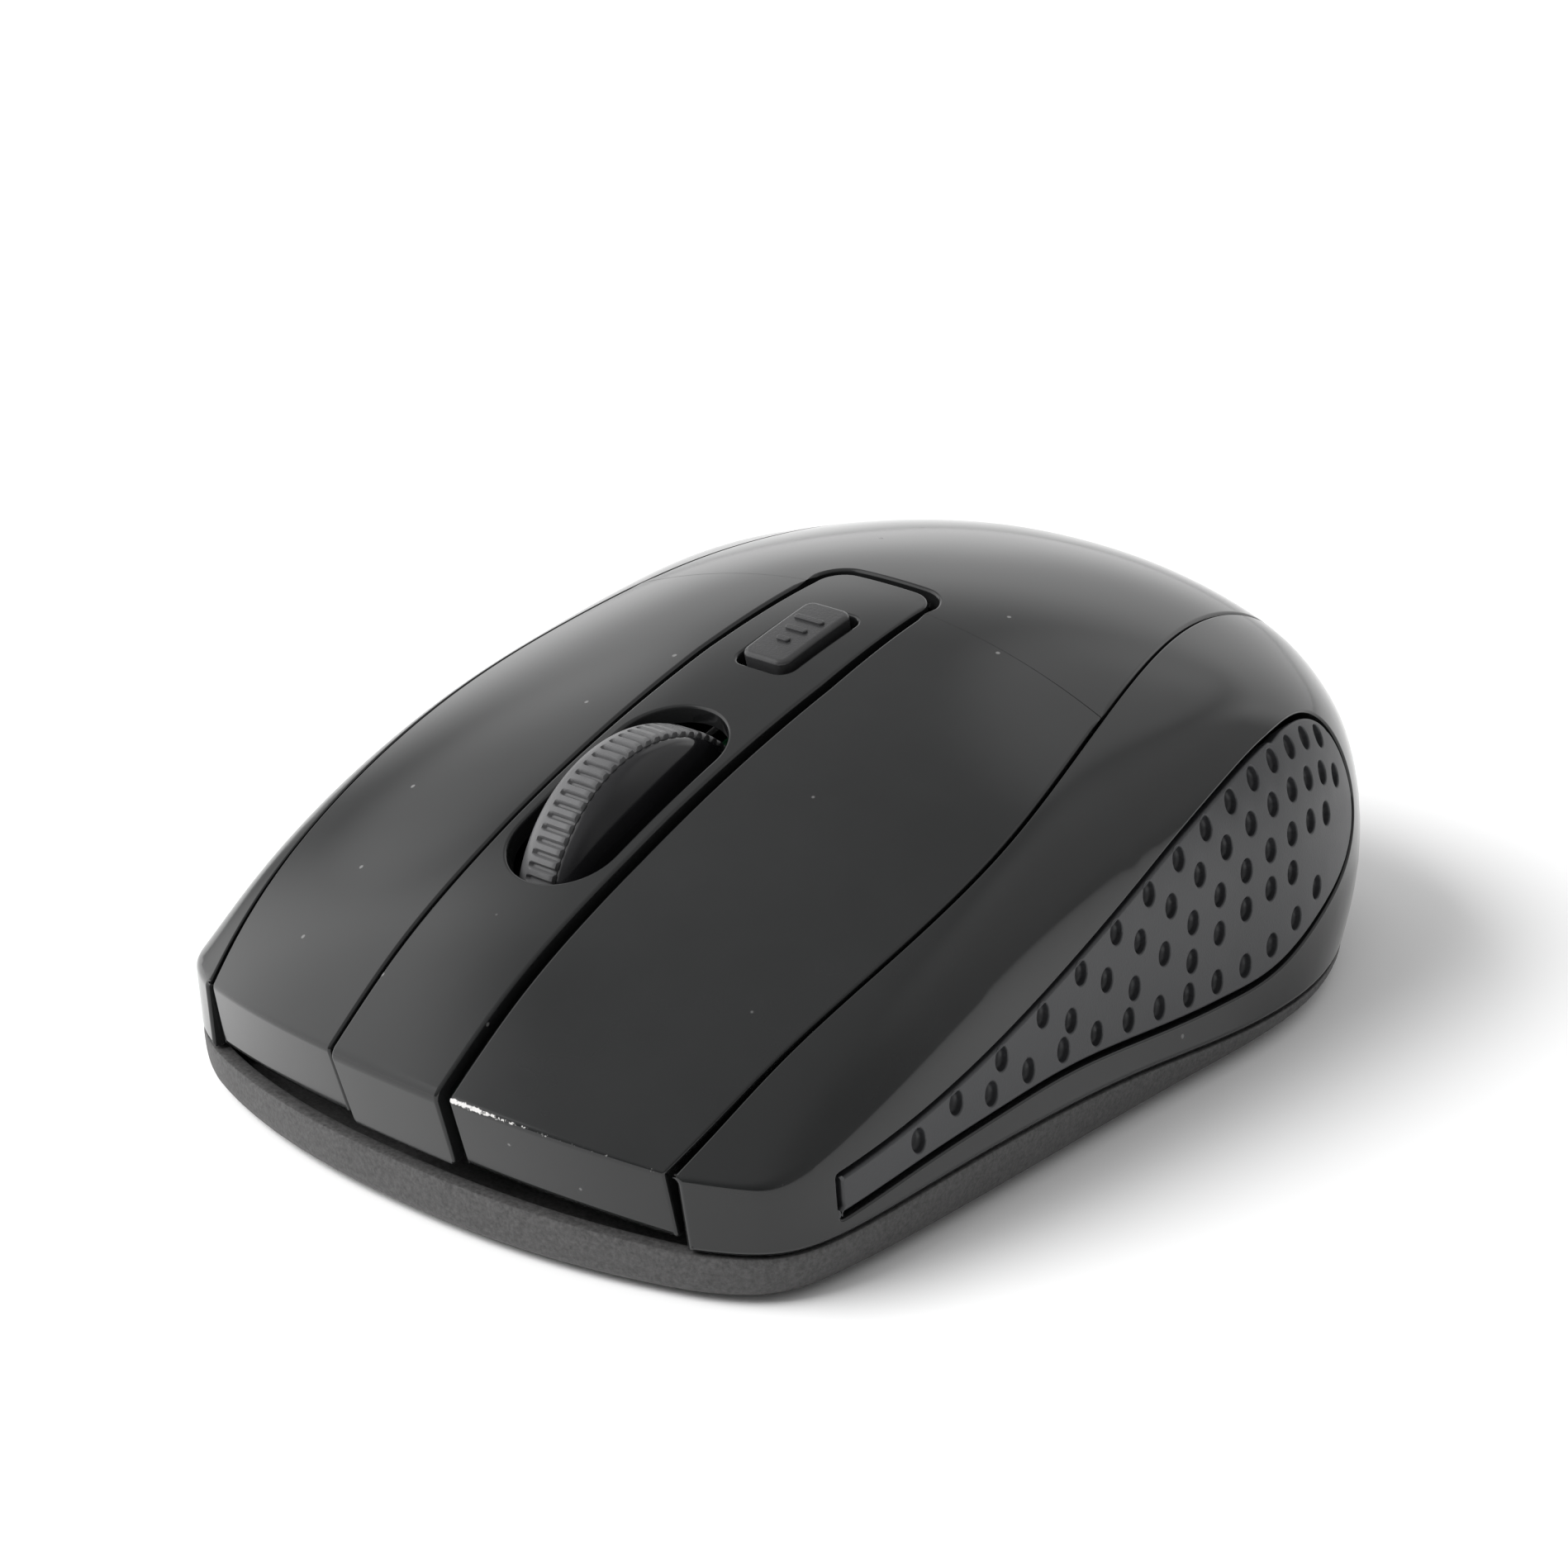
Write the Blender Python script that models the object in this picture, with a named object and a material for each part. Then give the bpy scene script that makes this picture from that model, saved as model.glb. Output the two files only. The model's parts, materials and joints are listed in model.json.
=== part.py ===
"""Wireless three-button computer mouse with a scroll wheel. Front (keys) at -Y, +Z up, desk at z = 0."""
import math

import bmesh
import bpy
import numpy as np
from mathutils import Matrix, Vector
from mathutils.geometry import delaunay_2d_cdt

MM = 0.001

# ---------------------------------------------------------------- driving dimensions, mm
# One row per station, front crease to tail: spine (y, z), then seam, shoulder and rim (x, y, z)
STATIONS = (
    ((-52.9, 11.9), (26.3, -48.2, 10.0), (27.0, -48.1, 9.9), (27.4, -47.3, 3.4)),
    ((-45.0, 17.9), (27.6, -43.4, 13.4), (31.6, -45.2, 9.6), (31.9, -44.6, 3.4)),
    ((-36.0, 22.9), (28.9, -36.0, 17.7), (33.8, -40.0, 10.4), (35.0, -38.8, 3.6)),
    ((-25.0, 27.7), (30.2, -25.0, 22.2), (34.7, -27.5, 15.6), (36.1, -26.5, 4.4)),
    ((-13.0, 31.9), (30.2, -13.0, 26.2), (34.4, -14.0, 20.6), (36.5, -13.5, 4.7)),
    ((0.0, 35.3), (28.2, -1.0, 29.7), (33.8, -1.0, 24.6), (36.7, -0.5, 4.1)),
    ((12.0, 36.9), (25.0, 12.0, 32.6), (33.2, 12.0, 27.4), (37.1, 12.0, 3.0)),
    ((24.0, 36.5), (21.8, 24.0, 33.3), (32.6, 24.3, 27.4), (36.8, 24.0, 2.6)),
    ((35.0, 34.6), (20.0, 34.0, 31.9), (31.0, 35.2, 24.0), (33.6, 34.5, 2.4)),
    ((43.8, 30.6), (19.5, 42.0, 28.3), (27.8, 43.0, 19.5), (28.8, 42.0, 2.4)),
    ((49.9, 23.3), (19.0, 47.5, 21.8), (24.0, 48.3, 14.5), (24.4, 46.9, 2.4)),
    ((52.8, 13.4), (18.6, 50.4, 12.8), (20.9, 50.4, 9.4), (21.2, 49.4, 2.4)),
    ((53.0, 3.0), (18.4, 51.0, 3.0), (19.0, 50.9, 2.8), (19.5, 50.6, 2.4)),
)
FRONT_FOOT = ((-50.8, 5.2), (26.6, -46.9, 3.9))  # foot of the front wall under spine and seam
CROWN, SWEEP = 2.1, 2.2
RAKE = 0.013  # the shell leans back about the desk line y = 50

WALL = 1.7  # moulding thickness
SEAM_GAP = 0.3
FLEX_Y = 7.4  # line where the keys flex from the top cover

STRIP_HALF = ((-6.6, 5.9), (25.0, 6.5), (50.0, 6.6), (64.0, 6.0))  # (distance from front crease, half width)
STRIP_GAP = 0.8
STRIP_REAR_Y, STRIP_CORNER = 10.4, 2.6
WHEEL_SLOT_Y, WHEEL_SLOT_LENGTH, WHEEL_SLOT_HALF = -24.9, 21.8, 5.3
CPI_Y, CPI_LENGTH, CPI_HALF, CPI_CORNER = -1.8, 9.6, 2.5, 1.0
CPI_TILT = math.radians(13.7)
CPI_TRAVEL = 0.5

WHEEL_Y, WHEEL_Z, WHEEL_R = -21.6, 19.2, 13.5
TYRE_HALF, TYRE_INNER, HUB_HALF = 3.4, 10.7, 4.1
AXLE_R, AXLE_LEFT, AXLE_RIGHT = 1.2, 12.6, -8.4
WHEEL_TRAVEL = 0.6

BOTTOM_Z, FLOOR_Z = 0.7, 2.0  # underside and top of the base plate
BOARD_Z, BOARD_THICK = 6.6, 1.2
BAY_HALF, BAY_FRONT, BAY_REAR, BAY_TOP = 15.7, -2.8, 47.0, 14.0
CELL_R, CELL_LENGTH, CELL_X, CELL_Z = 5.25, 44.5, (-9.2, 1.8), 8.0
SENSOR_X, SENSOR_Y = 11.0, -13.0
KEY_SWITCH = (15.5, -35.0)
BOSSES = ((19.0, -42.0), (19.0, -7.0))
SCREW_AT = (19.8, 18.0)

# grip outline in side view (y, z), its upper edge first
GRIP_OUTLINE = (
    (-37.9, 9.9), (-26.9, 12.2), (-12.8, 16.4), (0.8, 21.6), (8.3, 24.4), (16.3, 26.6), (22.8, 27.2), (28.8, 26.3),
    (33.3, 23.6), (35.7, 19.6), (35.4, 15.8), (32.2, 12.6), (26.8, 10.3), (20.6, 8.0), (14.1, 7.3), (4.1, 7.8),
    (-7.9, 9.0), (-17.9, 8.9), (-27.9, 8.1), (-37.9, 6.5),
)
GRIP_GAP = 0.5

SPINE = np.array([(0.0, *row[0]) for row in STATIONS])
SEAM, SHOULDER, RIM = (np.array([row[k] for row in STATIONS]) for k in (1, 2, 3))
LAST = len(STATIONS) - 1


# ---------------------------------------------------------------- outer skin
def along(curve, s):
    """Natural cubic spline through the stations; s counts stations."""
    n = len(curve)
    bend = np.zeros_like(curve)
    rows = 4 * np.eye(n - 2) + np.eye(n - 2, k=1) + np.eye(n - 2, k=-1)
    bend[1:-1] = np.linalg.solve(rows, 6 * (curve[2:] - 2 * curve[1:-1] + curve[:-2]))
    s = np.asarray(s, float)
    k = np.clip(np.floor(s).astype(int), 0, n - 2)
    f = (s - k)[..., None]
    g = 1 - f
    return g * curve[k] + f * curve[k + 1] + ((g**3 - g) * bend[k] + (f**3 - f) * bend[k + 1]) / 6


def hermite(p, v, q, w, f):
    f = np.clip(f, 0, 1)[..., None]
    rise, fall = 3 * f**2 - 2 * f**3, 2 * f**3 - 3 * f**2 + 1
    return fall * p + (f**3 - 2 * f**2 + f) * v + rise * q + (f**3 - f**2) * w


def unit(v):
    return v / (np.linalg.norm(v, axis=-1, keepdims=True) + 1e-12)


def raked(p):
    return p + RAKE * np.stack([0 * p[..., 0], p[..., 2], 50.0 - p[..., 1]], axis=-1)


def skin(s, t):
    """Outer skin: t 0 spine, 1 seam, 2 shoulder, 3 rim; s -1..0 is the front wall; -t mirrors in x."""
    s, t = np.broadcast_arrays(np.asarray(s, float), np.asarray(t, float))
    side, t = np.where(t < 0, -1.0, 1.0), np.abs(t)
    on = np.clip(s, 0, LAST)
    spine, seam, shoulder, rim = (along(curve, on) for curve in (SPINE, SEAM, SHOULDER, RIM))
    wall = np.clip(-s, 0, 1)[..., None]
    spine = spine + wall * (np.array((0.0, *FRONT_FOOT[0])) - SPINE[0])
    seam = seam + wall * (np.array(FRONT_FOOT[1]) - SEAM[0])
    a = np.clip(t, 0, 1)
    top = spine + (seam - spine) * np.stack([a, a**SWEEP, a**CROWN], axis=-1)

    span1, span2 = shoulder - seam, rim - shoulder
    len1, len2 = (np.linalg.norm(v, axis=-1, keepdims=True) + 1e-9 for v in (span1, span2))
    soft = np.clip((on - 0.5) / 2.5, 0, 1)[..., None]
    soft = soft * soft * (3 - 2 * soft)
    rear = np.clip((on - 6.0) / 2.5, 0, 1)[..., None]
    leave = unit((seam - spine) * np.array((1.0, SWEEP, CROWN))) * len1
    mean = unit(span1 / len1 + span2 / len2)
    flare = np.array((0.25, 0.0, -1.0)) + rear * np.array((-0.5, -0.2, 0.0))
    upper = hermite(seam, leave, shoulder, span1 + soft * (1.05 * mean * len1 - span1), t - 1)
    start, end = (span2 + soft * (v * len2 - span2) for v in (0.9 * mean, 0.95 * flare))
    lower = hermite(shoulder, start, rim, end, t - 2)

    t = t[..., None]
    point = raked(np.where(t <= 1, top, np.where(t <= 2, upper, lower)))
    return point * np.stack([side, np.ones_like(side), np.ones_like(side)], axis=-1)


# distance U along the middle of a key, zero at the front crease
_S = np.linspace(-1, LAST, 800)
_STEP = np.linalg.norm(np.diff(skin(_S, 0.5 + 0 * _S), axis=0), axis=1)
_U = np.concatenate([[0.0], np.cumsum(_STEP)])
_U -= np.interp(0.0, _S, _U)
FRONT_U, TAIL_U = _U[0], _U[-1]


def u_of_y(y):
    """U where the spine reaches y."""
    return np.interp(np.interp(y, skin(_S, 0 * _S)[60:, 1], _S[60:]), _S, _U)


def seam_x(u):
    return skin(np.interp(u, _U, _S), 1.0)[..., 0]


def top_point(p):
    """Skin point for plan-like coordinates (x, U)."""
    s = np.interp(p[:, 1], _U, _S)
    return skin(s, p[:, 0] / skin(s, 1.0)[:, 0])


def side_point(p):
    """Skin point for (t * 12, s * 8.5) on the +X side."""
    return skin(p[:, 1] / 8.5, p[:, 0] / 12.0)


def rim_z(p):
    return skin(p[:, 1] / 8.5, 3.0)[:, 2]


def upright(lift, p):
    """1 on the seam, where the pieces on both sides have upright edges, fading to 0 beside it."""
    if lift is side_point:
        return np.clip(1 - (p[:, 0] / 12.0 - 1) / 0.35, 0, 1)
    return np.clip(1 - (seam_x(p[:, 1]) - np.abs(p[:, 0])) / 4, 0, 1)


def normals(lift, p, step=0.02):
    dx, dy = np.array((step, 0.0)), np.array((0.0, step))
    return unit(np.cross(lift(p + dx) - lift(p - dx), lift(p + dy) - lift(p - dy)))


# ---------------------------------------------------------------- mesh helpers
def material(name, color, roughness, metallic=0.0, coat=0.0):
    found = bpy.data.materials.new(name)
    found.use_nodes = True
    shader = found.node_tree.nodes["Principled BSDF"]
    shader.inputs["Base Color"].default_value = (*color, 1.0)
    shader.inputs["Roughness"].default_value = roughness
    shader.inputs["Metallic"].default_value = metallic
    shader.inputs["Coat Weight"].default_value = coat
    return found


def mesh_object(name, points, faces, look=None, smooth=True):
    mesh = bpy.data.meshes.new(name)
    mesh.from_pydata((np.asarray(points, float) * MM).tolist(), [], [tuple(map(int, f)) for f in faces])
    mesh.validate()
    obj = bpy.data.objects.new(name, mesh)
    bpy.context.scene.collection.objects.link(obj)
    if look is None:
        obj.hide_render = True
        obj.display_type = "WIRE"
        return obj
    mesh.materials.append(look)
    if smooth:
        mesh.shade_smooth()
        mesh.set_sharp_from_angle(angle=math.radians(35))
    return obj


def inside(loop, p):
    a, b = loop, np.roll(loop, -1, axis=0)
    x, y = p[:, 0][:, None], p[:, 1][:, None]
    crosses = (a[:, 1] > y) != (b[:, 1] > y)
    at = a[:, 0] + (y - a[:, 1]) * (b[:, 0] - a[:, 0]) / (b[:, 1] - a[:, 1] + 1e-12)
    return (crosses & (x < at)).sum(axis=1) % 2 == 1


def gap_to(loop, p):
    a, b = loop, np.roll(loop, -1, axis=0)
    ab = b - a
    rel = p[:, None] - a
    k = np.clip((rel * ab).sum(-1) / ((ab * ab).sum(-1) + 1e-12), 0, 1)
    return np.linalg.norm(rel - k[..., None] * ab, axis=-1).min(axis=1)


def patch(name, loops, lift, thick, look, pitch=4.0, raised=None, sill=None, crease=False, mirror=False):
    """A closed moulding on the skin: the first loop is its outline, the others are windows."""
    loops = [np.asarray(loop, float) for loop in loops]
    low, high = loops[0].min(axis=0), loops[0].max(axis=0)
    rows = np.arange(low[1] + pitch / 2, high[1], pitch * 0.87)
    grid = np.array([
        (x, y) for k, y in enumerate(rows) for x in np.arange(low[0] + (k % 2) * pitch / 2, high[0], pitch)
    ])
    keep = inside(loops[0], grid)
    for k, loop in enumerate(loops):
        keep &= gap_to(loop, grid) > pitch * 0.45
        if k:
            keep &= ~inside(loop, grid)
    grid = grid[keep]
    # a row of points on the front crease, where the outline crosses it
    ends = np.sort(loops[0][np.abs(loops[0][:, 1]) < 1e-9, 0]) if crease else []
    row = np.zeros((0, 2))
    if len(ends):
        row = np.linspace(ends[0], ends[-1], max(3, int((ends[-1] - ends[0]) / pitch * 1.6)))[1:-1, None] * (1, 0)
    if len(ends):
        grid = grid[np.abs(grid[:, 1]) > pitch * 0.4]
    coords = np.vstack([*loops, row, grid])
    edges, first = [], 0
    for loop in loops:
        edges += [(first + k, first + (k + 1) % len(loop)) for k in range(len(loop))]
        first += len(loop)
    if len(ends):
        chain = [int(np.argmin(np.abs(loops[0] - (end, 0)).sum(axis=1))) for end in (ends[0], ends[-1])]
        chain[1:1] = range(first, first + len(row))
        edges += list(zip(chain, chain[1:]))
    found = delaunay_2d_cdt([Vector(c) for c in coords], edges, [], 0, 1e-5)
    flat = np.array([tuple(v) for v in found[0]])
    tris = np.array([tuple(f) for f in found[2]])
    centre = flat[tris].mean(axis=1)
    keep = inside(loops[0], centre)
    for loop in loops[1:]:
        keep &= ~inside(loop, centre)
    tris = tris[keep]
    used, tris = np.unique(tris, return_inverse=True)
    flat, tris = flat[used], tris.reshape(-1, 3)

    n = normals(lift, flat)
    outer = lift(flat)
    n[:, 0] *= 1 - upright(lift, flat)
    n = unit(n)
    if raised is not None:
        outer = outer + n * np.broadcast_to(raised(flat), len(flat))[:, None]
    inner = outer - n * thick
    if sill is not None:
        inner[:, 2] = np.maximum(inner[:, 2], sill(flat))
    count = len(flat)
    ends = np.concatenate([tris[:, [0, 1]], tris[:, [1, 2]], tris[:, [2, 0]]])
    seen = {tuple(e) for e in ends.tolist()}
    rim = [(b, a, a + count, b + count) for a, b in seen if (b, a) not in seen]
    points = np.vstack([outer, inner])
    faces = [tuple(f) for f in tris] + [(c + count, b + count, a + count) for a, b, c in tris] + rim
    if mirror:
        points = points * np.array((-1.0, 1.0, 1.0))
        faces = [tuple(reversed(f)) for f in faces]
    return mesh_object(name, points, faces, look)


def box(name, low, high, look=None, tilt=0.0, about=None):
    x0, y0, z0 = low
    x1, y1, z1 = high
    points = np.array([(x, y, z) for z in (z0, z1) for y in (y0, y1) for x in (x0, x1)], float)
    faces = [(0, 2, 3, 1), (4, 5, 7, 6), (0, 1, 5, 4), (2, 6, 7, 3), (0, 4, 6, 2), (1, 3, 7, 5)]
    if tilt:
        c, s = math.cos(tilt), math.sin(tilt)
        points = (points - about) @ np.array(((1, 0, 0), (0, c, s), (0, -s, c))) + about
    return mesh_object(name, points, faces, look, smooth=False)


def prism(name, loop, z0, z1, look=None):
    """A plan outline extruded upright."""
    loop = np.asarray(loop, float)
    n = len(loop)
    points = np.vstack([np.c_[loop, np.full(n, z0)], np.c_[loop, np.full(n, z1)]])
    faces = [tuple(reversed(range(n))), tuple(range(n, 2 * n))]
    faces += [(k, (k + 1) % n, n + (k + 1) % n, n + k) for k in range(n)]
    return mesh_object(name, points, faces, look)


def lathe(name, profile, axis, centre, look=None, steps=32):
    """Closed profile of (radius, height) turned about axis 'x', 'y' or 'z' through centre."""
    r, h = np.array(profile, float).T
    on_axis = r < 1e-6
    points, rings = [], []
    for radius, height, pole in zip(r, h, on_axis):
        ring = []
        for k in range(1 if pole else steps):
            a = math.tau * k / steps
            ring.append(len(points))
            points.append((radius * math.cos(a), radius * math.sin(a), height))
        rings.append(ring)
    faces = []
    pairs = list(zip(rings, rings[1:])) + ([] if on_axis[0] and on_axis[-1] else [(rings[-1], rings[0])])
    for one, two in pairs:
        for k in range(steps):
            j = (k + 1) % steps
            quad = (one[k % len(one)], one[j % len(one)], two[j % len(two)], two[k % len(two)])
            kept = tuple(dict.fromkeys(quad))
            if len(kept) > 2:
                faces.append(kept)
    points = np.array(points)
    turn = {"z": (0, 1, 2), "x": (2, 0, 1), "y": (1, 2, 0)}[axis]
    obj = mesh_object(name, points[:, turn] + centre, faces, look)
    outwards(obj)
    return obj


def outwards(obj):
    work = bmesh.new()
    work.from_mesh(obj.data)
    bmesh.ops.recalc_face_normals(work, faces=work.faces)
    if work.calc_volume(signed=True) < 0:
        bmesh.ops.reverse_faces(work, faces=work.faces)
    work.to_mesh(obj.data)
    work.free()


def combine(obj, other, operation="DIFFERENCE"):
    other.hide_render = True
    other.display_type = "WIRE"
    step = obj.modifiers.new(f"{operation.lower()}_{other.name}", "BOOLEAN")
    step.operation, step.object, step.solver = operation, other, "EXACT"


def rounded(x0, x1, y0, y1, r, steps=6):
    """Rounded rectangle, counter-clockwise."""
    loop = []
    for cx, cy, turn in ((x1 - r, y1 - r, 0), (x0 + r, y1 - r, 1), (x0 + r, y0 + r, 2), (x1 - r, y0 + r, 3)):
        for k in range(steps + 1):
            a = math.pi / 2 * (turn + k / steps)
            loop.append((cx + r * math.cos(a), cy + r * math.sin(a)))
    return np.array(loop)


def pivot(name, at, *children):
    """An empty on a joint's axis that carries the moving pieces."""
    empty = bpy.data.objects.new(name, None)
    empty.location = Vector(at) * MM
    empty.empty_display_size = 0.01
    bpy.context.scene.collection.objects.link(empty)
    bpy.context.view_layer.update()
    for child in children:
        child.parent = empty
        child.matrix_parent_inverse = empty.matrix_world.inverted()
    return empty


# ---------------------------------------------------------------- outlines
def strip_half(u):
    at, half = np.array(STRIP_HALF).T
    return np.interp(u, at, half)


def strip_edge(grow):
    """Right half of the strip's outline, front to rear, widened by grow."""
    rear = u_of_y(STRIP_REAR_Y) + grow
    r = STRIP_CORNER + grow * 0.5
    u = np.linspace(FRONT_U, rear - r, 18)
    u[np.abs(u).argmin()] = 0.0
    side = np.c_[strip_half(u) + grow, u]
    a = np.linspace(0, math.pi / 2, 6)[1:]
    corner = np.c_[side[-1, 0] - r + r * np.cos(a), rear - r + r * np.sin(a)]
    return np.vstack([side, corner])


def key_loop():
    flex = u_of_y(FLEX_Y) - SEAM_GAP / 2
    u = np.linspace(FRONT_U, flex, 16)
    u[np.abs(u).argmin()] = 0.0
    outer = np.c_[seam_x(u) - SEAM_GAP, u]
    inner = np.c_[strip_half(u) + STRIP_GAP, u]
    front = np.linspace(inner[0, 0], outer[0, 0], 6)[1:-1]
    rear = np.linspace(outer[-1, 0], inner[-1, 0], 6)[1:-1]
    return np.vstack([
        outer, np.c_[rear, np.full(4, flex)], inner[::-1], np.c_[front, np.full(4, FRONT_U)],
    ])


def cover_loop():
    flex = u_of_y(FLEX_Y) + SEAM_GAP / 2
    notch = strip_edge(STRIP_GAP)[::-1]
    notch = notch[notch[:, 1] > flex + 0.3]
    inner = strip_half(flex) + STRIP_GAP
    front = np.linspace(inner, seam_x(flex) - SEAM_GAP, 6)
    u = np.linspace(flex, TAIL_U, 14)[1:]
    seam = np.c_[seam_x(u) - SEAM_GAP, u]
    tail = np.linspace(seam[-1, 0], 0, 5)[1:-1]
    half = np.vstack([notch, np.c_[front, np.full(6, flex)], seam, np.c_[tail, np.full(3, TAIL_U)]])
    return np.vstack([half, (half * (-1, 1))[::-1]])


def counter_clockwise(loop):
    x, y = loop.T
    return loop if (x * np.roll(y, -1) - np.roll(x, -1) * y).sum() > 0 else loop[::-1]


def grip_loop(shrink, count=44):
    """Grip outline as side_point coordinates, drawn in by shrink."""
    outline = np.array(GRIP_OUTLINE)
    step = np.linalg.norm(np.diff(np.vstack([outline, outline[:1]]), axis=0), axis=1)
    reach = np.concatenate([[0], np.cumsum(step)])
    at = np.linspace(0, reach[-1], count, endpoint=False)
    corner = reach[len(outline) - 1]
    at[np.abs(at - corner).argmin()] = corner
    closed = np.vstack([outline, outline[:1]])
    loop = np.c_[np.interp(at, reach, closed[:, 0]), np.interp(at, reach, closed[:, 1])]
    if shrink:
        ahead, behind = np.roll(loop, -1, axis=0), np.roll(loop, 1, axis=0)
        left, right = unit(loop - behind), unit(ahead - loop)
        inward = unit(left + right)[:, ::-1] * (1, -1)
        spread = np.clip((left * unit(left + right)).sum(axis=1), 0.6, 1)[:, None]
        loop = loop + inward * shrink / spread
    s, t = np.meshgrid(np.linspace(0, LAST, 480), np.linspace(1.3, 3, 240), indexing="ij")
    flat = skin(s, t)[..., 1:].reshape(-1, 2)
    nearest = [np.argmin(((flat - p) ** 2).sum(axis=1)) for p in loop]
    return counter_clockwise(np.c_[t.ravel()[nearest] * 12.0, s.ravel()[nearest] * 8.5])


def base_loop(count_front=8):
    """Upper edge of the base, counter-clockwise from the front middle."""
    a = np.linspace(0, 1, count_front, endpoint=False)
    corner = raked(RIM[0]) - (0, 0, 0.3)
    front = np.c_[corner[0] * a, -51.9 + (corner[1] + 51.9) * a**2.3, 5.0 + (corner[2] - 5.0) * a**2]
    side = raked(along(RIM, np.linspace(0, LAST, 30))) - (0, 0, 0.3)
    tail_a = np.linspace(0, 1, 7)[1:-1]
    tail = np.c_[side[-1, 0] * (1 - tail_a), side[-1, 1] + 2.2 * (1 - (1 - tail_a) ** 2), np.full(5, 2.1)]
    half = np.vstack([front, side, tail])
    return np.vstack([half, [(0.0, side[-1, 1] + 2.2, 2.1)], half[:0:-1] * (-1, 1, 1)])


# ---------------------------------------------------------------- pieces
def tray(name, look=None):
    top = base_loop()
    n = len(top)
    ahead, behind = np.roll(top, -1, axis=0), np.roll(top, 1, axis=0)
    run = unit((ahead - behind)[:, :2])
    inward = np.c_[-run[:, 1], run[:, 0]]
    tuck = np.interp(top[:, 1], (-47.0, -36.0, 0.0, 25.0), (0.45, 1.0, 1.0, 1.5))  # fullest at the front

    def ring(inset, z):
        return np.c_[top[:, :2] + inward * np.broadcast_to(inset, n)[:, None], np.broadcast_to(z, n)]

    rings = [
        ring(1.7 * tuck, BOTTOM_Z), ring(0.9 * tuck, BOTTOM_Z + 0.25), ring(0.35 * tuck, BOTTOM_Z + 0.9), ring(0.0, top[:, 2]),
        ring(1.5, top[:, 2]), ring(1.8, FLOOR_Z),
    ]
    points = np.vstack(rings)
    faces = [tuple(reversed(range(n)))]
    for k in range(len(rings) - 1):
        faces += [(k * n + i, k * n + (i + 1) % n, (k + 1) * n + (i + 1) % n, (k + 1) * n + i) for i in range(n)]
    faces.append(tuple(range((len(rings) - 1) * n, len(rings) * n)))
    obj = mesh_object(name, points, faces, look)
    outwards(obj)
    return obj


def make_base(look):
    base = tray("base", look)
    b = BAY_HALF
    bay = box("bay_outer", (-b - 1.5, BAY_FRONT - 1.4, 1.2), (b + 1.5, BAY_REAR + 1.4, BAY_TOP + 1.2))
    combine(base, bay, "UNION")
    for k, (x, y) in enumerate(BOSSES):
        for sign in (1, -1):
            post = lathe(
                f"boss_{k}_{sign}", ((0, 1.0), (2.2, 1.0), (2.2, BOARD_Z - 0.3), (0, BOARD_Z - 0.3)), "z",
                (sign * x, y, 0), steps=16,
            )
            combine(base, post, "UNION")
    for sign in (1, -1):
        at = (sign * SCREW_AT[0], SCREW_AT[1], 0)
        combine(base, lathe(f"tower_{sign}", ((0, 1.0), (2.4, 1.0), (2.4, 8.4), (0, 8.4)), "z", at, steps=20), "UNION")
    combine(base, box("bay_inner", (-b, BAY_FRONT, -1), (b, BAY_REAR, BAY_TOP)))
    combine(base, box("door_path", (-b, BAY_FRONT, -1.5), (b, 60, 2.4)))
    for sign in (1, -1):
        at = (sign * SCREW_AT[0], SCREW_AT[1], 0)
        hole = ((0, -1), (2.2, -1), (2.2, 2.3), (1.3, 2.3), (1.3, 9.4), (0, 9.4))
        combine(base, lathe(f"screw_hole_{sign}", hole, "z", at, steps=20))
    window = lathe("sensor_window", ((0, -1), (4.6, -1), (3.8, BOTTOM_Z + 0.6), (3.8, 4), (0, 4)), "z", (SENSOR_X, SENSOR_Y, 0))
    combine(base, window)
    combine(base, prism("switch_window", rounded(-24.2, -16.2, -13.6, -10.4, 1.2, 4), -1, 4))
    return base


def make_door(look):
    door = tray("battery_door", look)
    b = BAY_HALF - 0.3
    combine(door, box("door_keep", (-b, BAY_FRONT + 0.3, -1), (b, 60, 1.95)), "INTERSECT")
    for k in range(3):
        y = 6.0 + 2.4 * k
        combine(door, box(f"door_groove_{k}", (-5, y, -0.5), (5, y + 1.0, BOTTOM_Z + 0.4)))
    return door


def make_key(name, look, mirror):
    key = patch(name, [key_loop()], top_point, WALL, look, crease=True, mirror=mirror)
    x, y = KEY_SWITCH
    x = -x if mirror else x
    post = box(f"{name}_post", (x - 1.4, y - 1.6, 16.0), (x + 1.4, y + 1.6, 21.3))
    combine(key, post, "UNION")
    return key


def make_cover(look):
    cover = patch("top_cover", [counter_clockwise(cover_loop())], top_point, WALL, look)
    for sign in (1, -1):
        at = (sign * SCREW_AT[0], SCREW_AT[1], 0)
        combine(cover, lathe(f"cover_post_{sign}", ((0, 9), (2.6, 9), (2.6, 33.7), (0, 33.7)), "z", at, steps=20), "UNION")
        combine(cover, lathe(f"post_hole_{sign}", ((0, 7), (1.15, 7), (1.15, 20), (0, 20)), "z", at, steps=16))
    return cover


def strip_raise(p):
    return np.interp(p[:, 1], (0.0, 30.0, 66.0), (0.5, 0.4, -0.1))


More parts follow.
